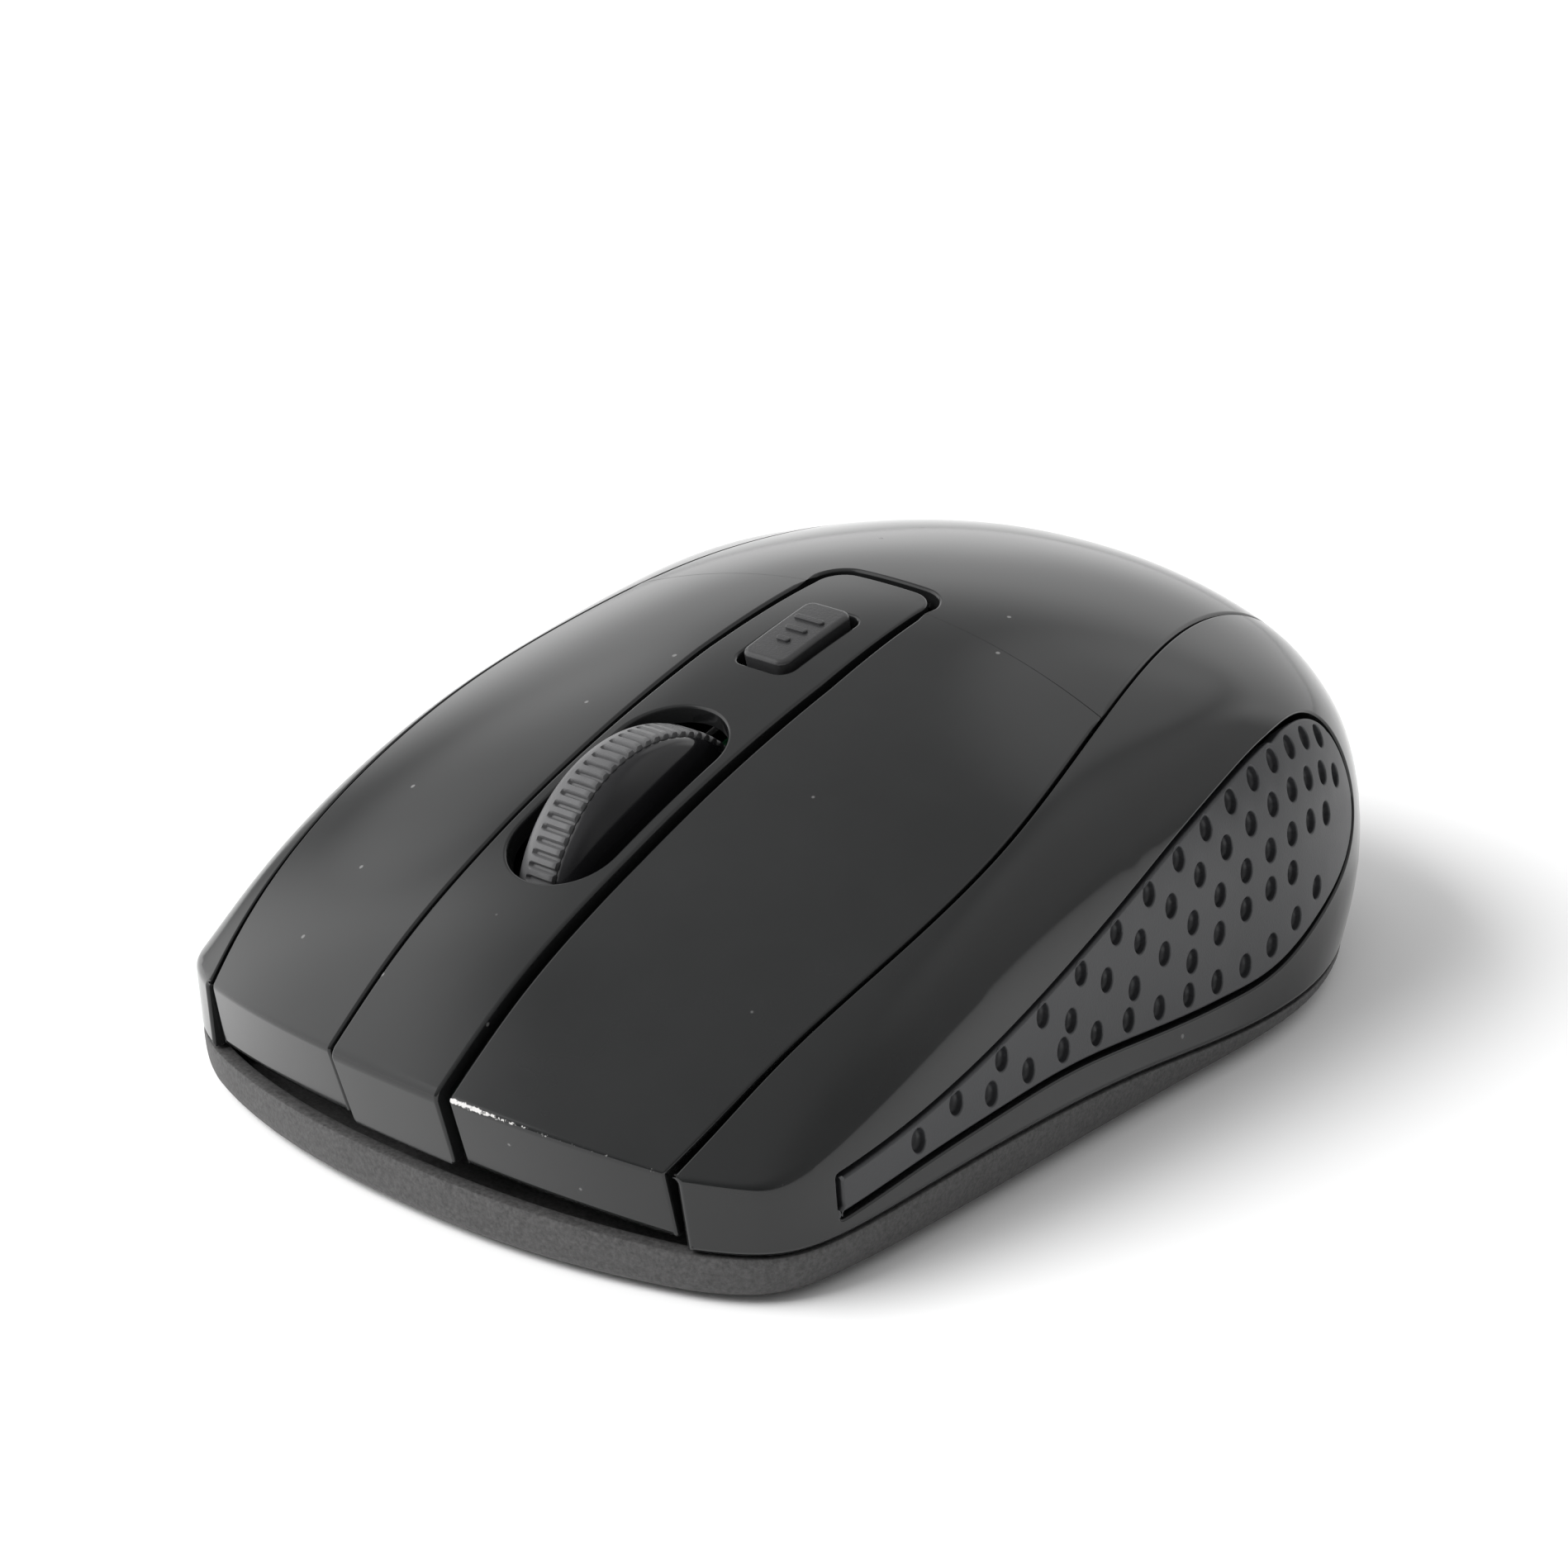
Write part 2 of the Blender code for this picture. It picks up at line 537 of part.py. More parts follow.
def make_strip(look):
    half = strip_edge(0.0)
    front = np.linspace(half[0, 0], -half[0, 0], 5)[1:-1]
    outline = np.vstack([half, (half * (-1, 1))[::-1], np.c_[-front, np.full(3, FRONT_U)]])
    mid = u_of_y(WHEEL_SLOT_Y)
    reach, r = WHEEL_SLOT_LENGTH / 2 * 1.08, WHEEL_SLOT_HALF
    slot = rounded(-r, r, mid - reach, mid + reach, r - 0.01, 8)
    at = u_of_y(CPI_Y)
    h, w = CPI_LENGTH / 2 + 0.6, CPI_HALF + 0.6
    pocket = rounded(-w, w, at - h, at + h, CPI_CORNER + 0.4, 4)
    return patch(
        "center_strip", [counter_clockwise(outline), slot, pocket], top_point, WALL, look, 3.6, strip_raise, crease=True
    )


def make_cpi(look):
    at = u_of_y(CPI_Y)
    h = CPI_LENGTH / 2
    outline = rounded(-CPI_HALF, CPI_HALF, at - h, at + h, CPI_CORNER, 4)
    return patch("cpi_button", [outline], top_point, 3.4, look, 3.0, lambda p: np.full(len(p), 1.3))


def make_panel(name, look, mirror):
    gap = SEAM_GAP
    s = np.linspace(0, LAST - 0.12, 34)
    front = np.linspace(1, 3, 6)[1:-1]
    upper = 12.0 + gap * 12.0 / np.maximum(np.linalg.norm(skin(s, 1.5) - skin(s, 1.0), axis=1) * 2, 2.0)
    outline = np.vstack([
        np.c_[upper, s * 8.5],
        [(24.0, s[-1] * 8.5)],
        np.c_[np.full(34, 36.0), s[::-1] * 8.5],
        np.c_[front[::-1] * 12.0, np.zeros(4)],
    ])
    return patch(name, [counter_clockwise(outline), grip_loop(0.0)], side_point, WALL, look, 5.0, sill=rim_z, mirror=mirror)


def make_grip(name, look, mirror):
    return patch(
        name, [grip_loop(GRIP_GAP)], side_point, 1.3, look, 5.0, lambda p: np.full(len(p), -0.3), mirror=mirror
    )


def make_wheel(tyre_look, hub_look, axle_look):
    at = (0, WHEEL_Y, WHEEL_Z)
    t, r = TYRE_HALF, WHEEL_R
    crown = [(r - 1.1 * (x / t) ** 4, x) for x in np.linspace(-t, t, 9)]
    tyre = lathe("wheel_tyre", [(TYRE_INNER, -t), *crown, (TYRE_INNER, t)], "x", at, tyre_look, 56)
    h, rim = HUB_HALF, TYRE_INNER - 0.1
    face = [(2.4, h - 0.2), (5.5, h), (8.0, h - 0.35), (9.7, h - 1.0), (rim, h - 1.9)]
    profile = [(1.3, h - 0.2), *face, *[(a, -b) for a, b in reversed(face)], (1.3, -h + 0.2)]
    hub = lathe("wheel_hub", profile, "x", at, hub_look, 40)
    axle = lathe("wheel_axle", ((0, AXLE_RIGHT), (AXLE_R, AXLE_RIGHT), (AXLE_R, AXLE_LEFT), (0, AXLE_LEFT)), "x", at, axle_look, 16)
    return tyre, hub, axle


def make_carriage(look):
    y, z = WHEEL_Y, WHEEL_Z
    frame = box("wheel_carriage", (-7.6, -37.8, 9.5), (7.6, -36.2, 14.6), look)
    for sign in (1, -1):
        x0, x1 = sorted((sign * 6.2, sign * 7.7))
        combine(frame, box(f"arm_{sign}", (x0, -37.7, 9.6), (x1, y + 3, 13.0)), "UNION")
        combine(frame, box(f"cheek_{sign}", (x0, y - 3.2, 9.7), (x1, y + 3.2, z + 3.4)), "UNION")
    combine(frame, box("press_tab", (-3, -42.6, 13.1), (3, -36.5, 14.5)), "UNION")
    combine(frame, lathe("axle_hole", ((0, -10), (1.3, -10), (1.3, 10), (0, 10)), "x", (0, y, z), steps=16))
    return frame


def make_board(look):
    board = box("main_board", (-23, -45.6, BOARD_Z), (23, -4.6, BOARD_Z + BOARD_THICK), look)
    combine(board, prism("wheel_cutout", rounded(-5.0, 5.0, -32.0, -11.6, 1.2, 3), 4, 10))
    combine(board, prism("lens_cutout", rounded(SENSOR_X - 3, SENSOR_X + 3, SENSOR_Y - 2.4, SENSOR_Y + 2.4, 0.5, 2), 4, 10))
    return board


def coil(name, centre, length, look, radius=(1.6, 3.0), wire=0.3, turns=4, steps=14):
    """A conical coil spring along +Y."""
    count = turns * steps
    points, ring = [], 6
    for k in range(count + 1):
        f = k / count
        a, r = math.tau * turns * f, radius[1] + (radius[0] - radius[1]) * f
        mid = np.array((r * math.cos(a), wire + (length - 2 * wire) * f, r * math.sin(a)))
        out = np.array((math.cos(a), 0.0, math.sin(a)))
        for j in range(ring):
            b = math.tau * j / ring
            points.append(mid + wire * (math.cos(b) * out + math.sin(b) * np.array((0.0, 1.0, 0.0))))
    faces = [tuple(range(ring)), tuple(reversed(range(count * ring, (count + 1) * ring)))]
    for k in range(count):
        for j in range(ring):
            a, b = k * ring + j, k * ring + (j + 1) % ring
            faces.append((a, a + ring, b + ring, b))
    obj = mesh_object(name, np.array(points) + centre, faces, look)
    outwards(obj)
    return obj


def make_cell(name, x, y0, forward, look):
    """A battery cell along Y, with its button end towards +Y when forward is 1."""
    r, length = CELL_R, CELL_LENGTH
    profile = [(0, 0), (r - 0.6, 0), (r, 0.5), (r, length - 1.6), (r - 0.6, length - 1.1), (2.0, length - 1.1),
               (1.9, length), (0, length)]
    if forward < 0:
        profile = [(a, length - b) for a, b in reversed(profile)]
    return lathe(name, profile, "y", (x, y0, CELL_Z), look, 28)


def make_switch(name, x, y, look, stem_look):
    top = BOARD_Z + BOARD_THICK + 0.3
    body = box(name, (x - 2.9, y - 6.4, top), (x + 2.9, y + 6.4, top + 6.0), look)
    stem = box(f"{name}_plunger", (x - 0.9, y - 1.4, top + 6.8), (x + 0.9, y + 1.4, top + 7.6), stem_look)
    return body, stem


def main():
    for obj in list(bpy.data.objects):
        bpy.data.objects.remove(obj, do_unlink=True)
    bpy.context.scene.unit_settings.system = "METRIC"

    def gloss(name):
        return material(name, (0.012, 0.012, 0.013), 0.08, coat=0.6)

    make_base(material("base", (0.05, 0.05, 0.053), 0.6))
    make_cover(gloss("top_cover"))
    left_key = make_key("left_key", gloss("left_key"), False)
    right_key = make_key("right_key", gloss("right_key"), True)
    make_strip(gloss("center_strip"))
    for side, mirror in (("left", False), ("right", True)):
        make_panel(f"{side}_side_panel", gloss(f"{side}_side_panel"), mirror)
        make_grip(f"{side}_grip", material(f"{side}_grip", (0.05, 0.05, 0.055), 0.45), mirror)
    cpi = make_cpi(material("cpi_button", (0.04, 0.04, 0.042), 0.3))
    tyre, hub, axle = make_wheel(
        material("wheel_tyre", (0.05, 0.05, 0.052), 0.5),
        gloss("wheel_hub"),
        material("wheel_axle", (0.6, 0.6, 0.62), 0.3, 1.0),
    )
    carriage = make_carriage(material("wheel_carriage", (0.1, 0.1, 0.1), 0.5))
    encoder = box(
        "rotary_encoder", (8.2, WHEEL_Y - 4.5, 12.6), (12.2, WHEEL_Y + 4.5, 22.8), material("rotary_encoder", (0.05, 0.16, 0.1), 0.5)
    )
    combine(encoder, lathe("encoder_hole", ((0, 6), (1.3, 6), (1.3, 14), (0, 14)), "x", (0, WHEEL_Y, WHEEL_Z), steps=16))

    stems = {}
    for side, sign in (("left", 1), ("right", -1)):
        _, stems[side] = make_switch(
            f"{side}_switch", sign * KEY_SWITCH[0], KEY_SWITCH[1],
            material(f"{side}_switch", (0.02, 0.02, 0.02), 0.4), material(f"{side}_switch_plunger", (0.75, 0.1, 0.08), 0.4),
        )
    board_top = BOARD_Z + BOARD_THICK + 0.3
    box("wheel_switch", (-3, -43.0, board_top), (3, -38.4, board_top + 3.4), material("wheel_switch", (0.02, 0.02, 0.02), 0.4))
    stems["wheel"] = lathe(
        "wheel_switch_plunger", ((0, 12.2), (1.7, 12.2), (1.7, 12.8), (0, 12.8)), "z", (0, -40.7, 0),
        material("wheel_switch_plunger", (0.5, 0.42, 0.1), 0.4), 16,
    )

    # the resolution button's own switch, square to the button
    seat = skin(np.interp(u_of_y(CPI_Y), _U, _S), 0.0)
    for name, half, depth, look in (
        ("cpi_board", (4.2, 8.0), (7.6, 8.6), material("cpi_board", (0.02, 0.2, 0.08), 0.5)),
        ("cpi_switch", (3.0, 3.0), (4.6, 7.3), material("cpi_switch", (0.3, 0.3, 0.3), 0.4)),
        ("cpi_switch_plunger", (1.4, 1.4), (2.4, 3.6), material("cpi_switch_plunger", (0.03, 0.03, 0.03), 0.4)),
    ):
        low = (-half[0], seat[1] - half[1], seat[2] - depth[1])
        high = (half[0], seat[1] + half[1], seat[2] - depth[0])
        made = box(name, low, high, look, CPI_TILT, seat)
        if name.endswith("plunger"):
            stems["cpi"] = made

    make_board(material("main_board", (0.02, 0.2, 0.08), 0.5))
    box("controller_chip", (-19.0, -27.5, board_top), (-12.0, -20.5, board_top + 1.4), material("controller_chip", (0.01, 0.01, 0.01), 0.5))
    box("sensor_chip", (SENSOR_X - 4.8, SENSOR_Y - 4.2, board_top), (SENSOR_X + 4.8, SENSOR_Y + 4.2, board_top + 2.6), material("sensor_chip", (0.01, 0.01, 0.01), 0.5))
    lathe(
        "sensor_lens", ((0, 1.5), (3.2, 1.5), (3.2, 3.4), (1.8, 4.4), (1.8, 6.2), (0, 6.2)), "z", (SENSOR_X, SENSOR_Y, 0),
        material("sensor_lens", (0.85, 0.88, 0.9), 0.1), 24,
    )
    lathe(
        "sensor_led", ((0, 5.2), (1.4, 5.8), (1.5, 6.8), (1.5, 10.5), (0, 10.5)), "x", (SENSOR_X, SENSOR_Y, 10.0),
        material("sensor_led", (0.8, 0.1, 0.08), 0.2), 16,
    )

    door = make_door(material("battery_door", (0.05, 0.05, 0.053), 0.6))
    make_cell("battery_cell_a", CELL_X[0], 1.2, 1, material("battery_cell_a", (0.25, 0.27, 0.3), 0.35))
    make_cell("battery_cell_b", CELL_X[1], -1.6, -1, material("battery_cell_b", (0.25, 0.27, 0.3), 0.35))
    coil("battery_spring_a", (CELL_X[0], -1.8, CELL_Z), 2.7, material("battery_spring_a", (0.7, 0.7, 0.7), 0.3, 1.0))
    coil("battery_spring_b", (CELL_X[1], 43.3, CELL_Z), 2.6, material("battery_spring_b", (0.7, 0.7, 0.7), 0.3, 1.0))
    for name, y in (("battery_contact_front", -2.5), ("battery_contact_rear", 46.2)):
        box(name, (-13.8, y, 3.6), (6.4, y + 0.4, 12.6), material(name, (0.7, 0.7, 0.7), 0.3, 1.0))
    box("receiver_plug", (9.2, 3.0, 2.8), (13.7, 15.0, 13.4), material("receiver_plug", (0.7, 0.7, 0.7), 0.25, 1.0))
    box("receiver_body", (8.6, 15.3, 2.8), (14.4, 22.0, 13.6), material("receiver_body", (0.02, 0.02, 0.02), 0.4))

    slider = prism("power_slider", rounded(-23.8, -19.8, -13.2, -10.8, 0.8, 4), 0.95, 3.4, material("power_slider", (0.55, 0.08, 0.06), 0.45))
    box("power_switch_body", (-24.5, -14.2, 3.7), (-15.9, -9.8, 6.3), material("power_switch_body", (0.5, 0.5, 0.5), 0.4))

    for name, x, y in (("front_left", 21, -39), ("front_right", -21, -39), ("rear_left", 23, 35), ("rear_right", -23, 35)):
        turn = math.radians(-14 if x * y > 0 else 14) * (1 if y > 0 else 1)
        loop = rounded(-5.5, 5.5, -2.4, 2.4, 2.2, 5) @ np.array(((math.cos(turn), math.sin(turn)), (-math.sin(turn), math.cos(turn))))
        prism(f"foot_{name}", loop + (x, y), 0.0, 0.64, material(f"foot_{name}", (0.012, 0.012, 0.013), 0.4))
    for side, sign in (("left", 1), ("right", -1)):
        lathe(
            f"case_screw_{side}", ((0, 0.95), (2.0, 0.95), (2.0, 2.1), (1.0, 2.1), (1.0, 17.0), (0, 17.0)), "z",
            (sign * SCREW_AT[0], SCREW_AT[1], 0), material(f"case_screw_{side}", (0.5, 0.5, 0.52), 0.3, 1.0), 20,
        )

    hinge = skin(np.interp(u_of_y(FLEX_Y), _U, _S), 0.5) - (0, 0, WALL)
    pivot("left_key_hinge", (0, hinge[1], hinge[2]), left_key)
    pivot("right_key_hinge", (0, hinge[1], hinge[2]), right_key)
    pivot("cpi_press", seat, cpi)
    pivot("wheel_spin", (0, WHEEL_Y, WHEEL_Z), tyre, hub, axle)
    pivot("wheel_click", (0, WHEEL_Y, WHEEL_Z), carriage, encoder)
    pivot("door_slide", (0, 20, BOTTOM_Z), door)
    pivot("power_slide", (-21.8, -12, 0.95), slider)
    for side, stem in stems.items():
        pivot(f"{side}_stem", stem.data.vertices[0].co / MM, stem)


main()
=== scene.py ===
"""Looks of a wireless mouse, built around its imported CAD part.

The keys face -Y, +X is the mouse's left side and the desk is z = 0. Lengths are in millimetres.
"""

import json
import math

import bmesh
import bpy
import numpy as np
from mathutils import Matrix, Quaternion, Vector
from mathutils.geometry import delaunay_2d_cdt


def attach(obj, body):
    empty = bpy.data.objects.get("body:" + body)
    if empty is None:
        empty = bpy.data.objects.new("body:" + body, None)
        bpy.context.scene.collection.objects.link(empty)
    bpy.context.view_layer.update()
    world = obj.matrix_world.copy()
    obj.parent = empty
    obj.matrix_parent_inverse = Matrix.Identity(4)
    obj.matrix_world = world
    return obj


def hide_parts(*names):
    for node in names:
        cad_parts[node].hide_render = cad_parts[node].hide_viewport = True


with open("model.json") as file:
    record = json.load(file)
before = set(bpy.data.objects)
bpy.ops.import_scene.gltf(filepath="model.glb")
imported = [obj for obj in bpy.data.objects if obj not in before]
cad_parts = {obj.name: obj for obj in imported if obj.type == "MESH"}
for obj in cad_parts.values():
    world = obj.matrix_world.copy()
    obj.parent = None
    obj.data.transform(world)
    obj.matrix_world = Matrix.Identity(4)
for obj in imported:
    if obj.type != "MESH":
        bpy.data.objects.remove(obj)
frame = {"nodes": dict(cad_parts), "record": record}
scene = bpy.context.scene
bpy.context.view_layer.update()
BODY_OF = {n: body for body, nodes in frame["record"]["behaviour"]["bodies"].items() for n in nodes}
MM = 0.001

# ---- driving dimensions, those of the CAD part
# One row per station, front crease to tail: spine (y, z), then seam, shoulder and rim (x, y, z)
STATIONS = (
    ((-52.9, 11.9), (26.3, -48.2, 10.0), (27.0, -48.1, 9.9), (27.4, -47.3, 3.4)),
    ((-45.0, 17.9), (27.6, -43.4, 13.4), (31.6, -45.2, 9.6), (31.9, -44.6, 3.4)),
    ((-36.0, 22.9), (28.9, -36.0, 17.7), (33.8, -40.0, 10.4), (35.0, -38.8, 3.6)),
    ((-25.0, 27.7), (30.2, -25.0, 22.2), (34.7, -27.5, 15.6), (36.1, -26.5, 4.4)),
    ((-13.0, 31.9), (30.2, -13.0, 26.2), (34.4, -14.0, 20.6), (36.5, -13.5, 4.7)),
    ((0.0, 35.3), (28.2, -1.0, 29.7), (33.8, -1.0, 24.6), (36.7, -0.5, 4.1)),
    ((12.0, 36.9), (25.0, 12.0, 32.6), (33.2, 12.0, 27.4), (37.1, 12.0, 3.0)),
    ((24.0, 36.5), (21.8, 24.0, 33.3), (32.6, 24.3, 27.4), (36.8, 24.0, 2.6)),
    ((35.0, 34.6), (20.0, 34.0, 31.9), (31.0, 35.2, 24.0), (33.6, 34.5, 2.4)),
    ((43.8, 30.6), (19.5, 42.0, 28.3), (27.8, 43.0, 19.5), (28.8, 42.0, 2.4)),
    ((49.9, 23.3), (19.0, 47.5, 21.8), (24.0, 48.3, 14.5), (24.4, 46.9, 2.4)),
    ((52.8, 13.4), (18.6, 50.4, 12.8), (20.9, 50.4, 9.4), (21.2, 49.4, 2.4)),
    ((53.0, 3.0), (18.4, 51.0, 3.0), (19.0, 50.9, 2.8), (19.5, 50.6, 2.4)),
)
FRONT_FOOT = ((-50.8, 5.2), (26.6, -46.9, 3.9))  # foot of the front wall under spine and seam
CROWN, SWEEP = 2.1, 2.2
RAKE, RAKE_Y = 0.013, 50.0  # the shell leans back about the desk line at this y

WALL = 1.7  # moulding thickness
FLEX_Y = 7.4  # line where the keys flex from the top cover

STRIP_HALF = ((-6.6, 5.9), (25.0, 6.5), (50.0, 6.6), (64.0, 6.0))  # (distance from front crease, half width)
STRIP_GAP = 0.8
STRIP_REAR_Y, STRIP_CORNER = 10.4, 2.6
WHEEL_SLOT_Y, WHEEL_SLOT_LENGTH, WHEEL_SLOT_HALF = -24.9, 21.8, 5.3
CPI_Y, CPI_LENGTH, CPI_HALF, CPI_CORNER = -1.8, 9.6, 2.5, 1.0

WHEEL_Y, WHEEL_Z, WHEEL_R = -21.6, 19.2, 13.5
TYRE_HALF, TYRE_INNER, HUB_HALF = 3.4, 10.7, 4.1

BOTTOM_Z, FLOOR_Z = 0.7, 2.0  # underside and top of the base plate
BAY_HALF, BAY_FRONT, BAY_REAR, BAY_TOP = 15.7, -2.8, 47.0, 14.0
SENSOR_X, SENSOR_Y = 11.0, -13.0
SCREW_X, SCREW_Y = 19.8, 18.0

# grip outline in side view (y, z), its upper edge first
GRIP_OUTLINE = (
    (-37.9, 9.9), (-26.9, 12.2), (-12.8, 16.4), (0.8, 21.6), (8.3, 24.4), (16.3, 26.7), (22.8, 27.6),
    (28.8, 27.2), (33.6, 24.5), (36.0, 19.7), (35.9, 15.4), (32.8, 11.9), (27.2, 9.4), (20.8, 7.2),
    (14.1, 6.5), (4.1, 7.0), (-7.9, 8.1), (-17.9, 8.0), (-27.9, 7.3), (-37.9, 6.0),
)
GRIP_GAP = 0.5

SPINE = np.array([(0.0, *row[0]) for row in STATIONS])
SEAM, SHOULDER, RIM = (np.array([row[k] for row in STATIONS]) for k in (1, 2, 3))
LAST = len(STATIONS) - 1


def along(curve, s):
    """Natural cubic spline through the stations; s counts stations."""
    n = len(curve)
    bend = np.zeros_like(curve)
    rows = 4 * np.eye(n - 2) + np.eye(n - 2, k=1) + np.eye(n - 2, k=-1)
    bend[1:-1] = np.linalg.solve(rows, 6 * (curve[2:] - 2 * curve[1:-1] + curve[:-2]))
    s = np.asarray(s, float)
    k = np.clip(np.floor(s).astype(int), 0, n - 2)
    f = (s - k)[..., None]
    g = 1 - f
    return g * curve[k] + f * curve[k + 1] + ((g**3 - g) * bend[k] + (f**3 - f) * bend[k + 1]) / 6


def hermite(p, v, q, w, f):
    """Cubic from p, leaving along v, to q, arriving along w."""
    f = np.clip(f, 0, 1)[..., None]
    rise, fall = 3 * f**2 - 2 * f**3, 2 * f**3 - 3 * f**2 + 1
    return fall * p + (f**3 - 2 * f**2 + f) * v + rise * q + (f**3 - f**2) * w


def parabola(a, b, c, f):
    """Point of the parabola from a to c whose ends head for b."""
    return (1 - f) ** 2 * a + 2 * f * (1 - f) * b + f**2 * c


def length(v):
    return np.linalg.norm(v, axis=1)


def unit(v):
    return v / (np.linalg.norm(v, axis=-1, keepdims=True) + 1e-12)


def raked(p):
    """Points of the shell, leant back by the rake."""
    return p + RAKE * np.stack([0 * p[..., 0], p[..., 2], RAKE_Y - p[..., 1]], axis=-1)


def skin(s, t):
    """Outer skin: t 0 spine, 1 seam, 2 shoulder, 3 rim; s -1..0 is the front wall; -t mirrors in x."""
    s, t = np.broadcast_arrays(np.asarray(s, float), np.asarray(t, float))
    side, t = np.where(t < 0, -1.0, 1.0), np.abs(t)
    on = np.clip(s, 0, LAST)
    spine, seam, shoulder, rim = (along(curve, on) for curve in (SPINE, SEAM, SHOULDER, RIM))
    wall = np.clip(-s, 0, 1)[..., None]
    spine = spine + wall * (np.array((0.0, *FRONT_FOOT[0])) - SPINE[0])
    seam = seam + wall * (np.array(FRONT_FOOT[1]) - SEAM[0])
    a = np.clip(t, 0, 1)
    top = spine + (seam - spine) * np.stack([a, a**SWEEP, a**CROWN], axis=-1)

    span1, span2 = shoulder - seam, rim - shoulder
    len1, len2 = (np.linalg.norm(v, axis=-1, keepdims=True) + 1e-9 for v in (span1, span2))
    soft = np.clip((on - 0.5) / 2.5, 0, 1)[..., None]
    soft = soft * soft * (3 - 2 * soft)
    rear = np.clip((on - 6.0) / 2.5, 0, 1)[..., None]
    leave = unit((seam - spine) * np.array((1.0, SWEEP, CROWN))) * len1
    mean = unit(span1 / len1 + span2 / len2)
    flare = np.array((0.25, 0.0, -1.0)) + rear * np.array((-0.5, -0.2, 0.0))
    upper = hermite(seam, leave, shoulder, span1 + soft * (1.05 * mean * len1 - span1), t - 1)
    start, end = (span2 + soft * (v * len2 - span2) for v in (0.9 * mean, 0.95 * flare))
    lower = hermite(shoulder, start, rim, end, t - 2)

    t = t[..., None]
    point = raked(np.where(t <= 1, top, np.where(t <= 2, upper, lower)))
    return point * np.stack([side, np.ones_like(side), np.ones_like(side)], axis=-1)


# distance U along the middle of a key, zero at the front crease
_S = np.linspace(-1, LAST, 800)
_STEP = length(np.diff(skin(_S, 0.5 + 0 * _S), axis=0))
_U = np.concatenate([[0.0], np.cumsum(_STEP)])
_U -= np.interp(0.0, _S, _U)
FRONT_U, TAIL_U = _U[0], _U[-1]


def u_of_y(y):
    """U where the spine reaches y."""
    return np.interp(np.interp(y, skin(_S, 0 * _S)[60:, 1], _S[60:]), _S, _U)


def seam_x(u):
    return skin(np.interp(u, _U, _S), 1.0)[..., 0]


CREASE = 0.45  # half width of the rounded front crease, along the skin
SHOULDER_CREASE = 0.7  # and of the one along the shoulder
T_SCALE, S_SCALE = 12.0, 8.5  # side coordinates for one step of t and of s, which come near millimetres


def top_point(p):
    """Skin point for plan-like coordinates (x, U), with the front crease rounded."""
    x, u = p[:, 0], p[:, 1]

    def at(v):
        s = np.interp(v, _U, _S)
        return skin(s, x / skin(s, 1.0)[..., 0])

    f = np.clip((u + CREASE) / (2 * CREASE), 0, 1)[:, None]
    return np.where(np.abs(u)[:, None] < CREASE, parabola(at(-CREASE), at(0.0), at(CREASE), f), at(u))


def side_point(p):
    """Skin point for side coordinates on the +X side, with the shoulder crease rounded."""
    t, s = p[:, 0] / T_SCALE, p[:, 1] / S_SCALE
    seam, shoulder, rim = skin(s, 1.0), skin(s, 2.0), skin(s, 3.0)
    up = np.minimum(SHOULDER_CREASE / length(shoulder - seam), 0.8)
    down = SHOULDER_CREASE / length(rim - shoulder)
    f = np.clip((t - 2 + up) / (up + down), 0, 1)[:, None]
    bent = parabola(skin(s, 2 - up), shoulder, skin(s, 2 + down), f)
    return np.where((f > 0) & (f < 1), bent, skin(s, t))


def jacobian(lift, p):
    """How a lifted point moves with each of its two coordinates."""
    step = 0.01
    return [(lift(p + d) - lift(p - d)) / (2 * step) for d in np.eye(2) * step]


def normals(lift, p):
    a, b = jacobian(lift, p)
    return unit(np.cross(a, b))


def shift(lift, p, move):
    """Coordinates whose lifted point lies move further along the skin."""
    a, b = jacobian(lift, p)
    aa, ab, bb = (a * a).sum(1), (a * b).sum(1), (b * b).sum(1)
    am, bm = (a * move).sum(1), (b * move).sum(1)
    det = aa * bb - ab * ab + 1e-12
    return p + np.c_[(bb * am - ab * bm) / det, (aa * bm - ab * am) / det]


# ---- outlines
def inside(loop, p):
    """Which points lie inside a closed polygon."""
    a, b = loop, np.roll(loop, -1, axis=0)
    x, y = p[:, 0][:, None], p[:, 1][:, None]
    crosses = (a[:, 1] > y) != (b[:, 1] > y)
    at = a[:, 0] + (y - a[:, 1]) * (b[:, 0] - a[:, 0]) / (b[:, 1] - a[:, 1] + 1e-12)
    return (crosses & (x < at)).sum(axis=1) % 2 == 1


def within(rings, p):
    """Which points lie inside rings[0] and outside the others."""
    keep = inside(rings[0], p)
    for ring in rings[1:]:
        keep &= ~inside(ring, p)
    return keep


def gap_to(loop, p, closed=True):
    """Distance from each point to a polygon's sides."""
    a, b = (loop, np.roll(loop, -1, axis=0)) if closed else (loop[:-1], loop[1:])
    ab = b - a
    best = np.full(len(p), 1e9)
    for k in range(0, len(p), 2000):
        rel = p[k : k + 2000, None] - a
        f = np.clip((rel * ab).sum(-1) / ((ab * ab).sum(-1) + 1e-12), 0, 1)
        best[k : k + 2000] = np.linalg.norm(rel - f[..., None] * ab, axis=-1).min(axis=1)
    return best


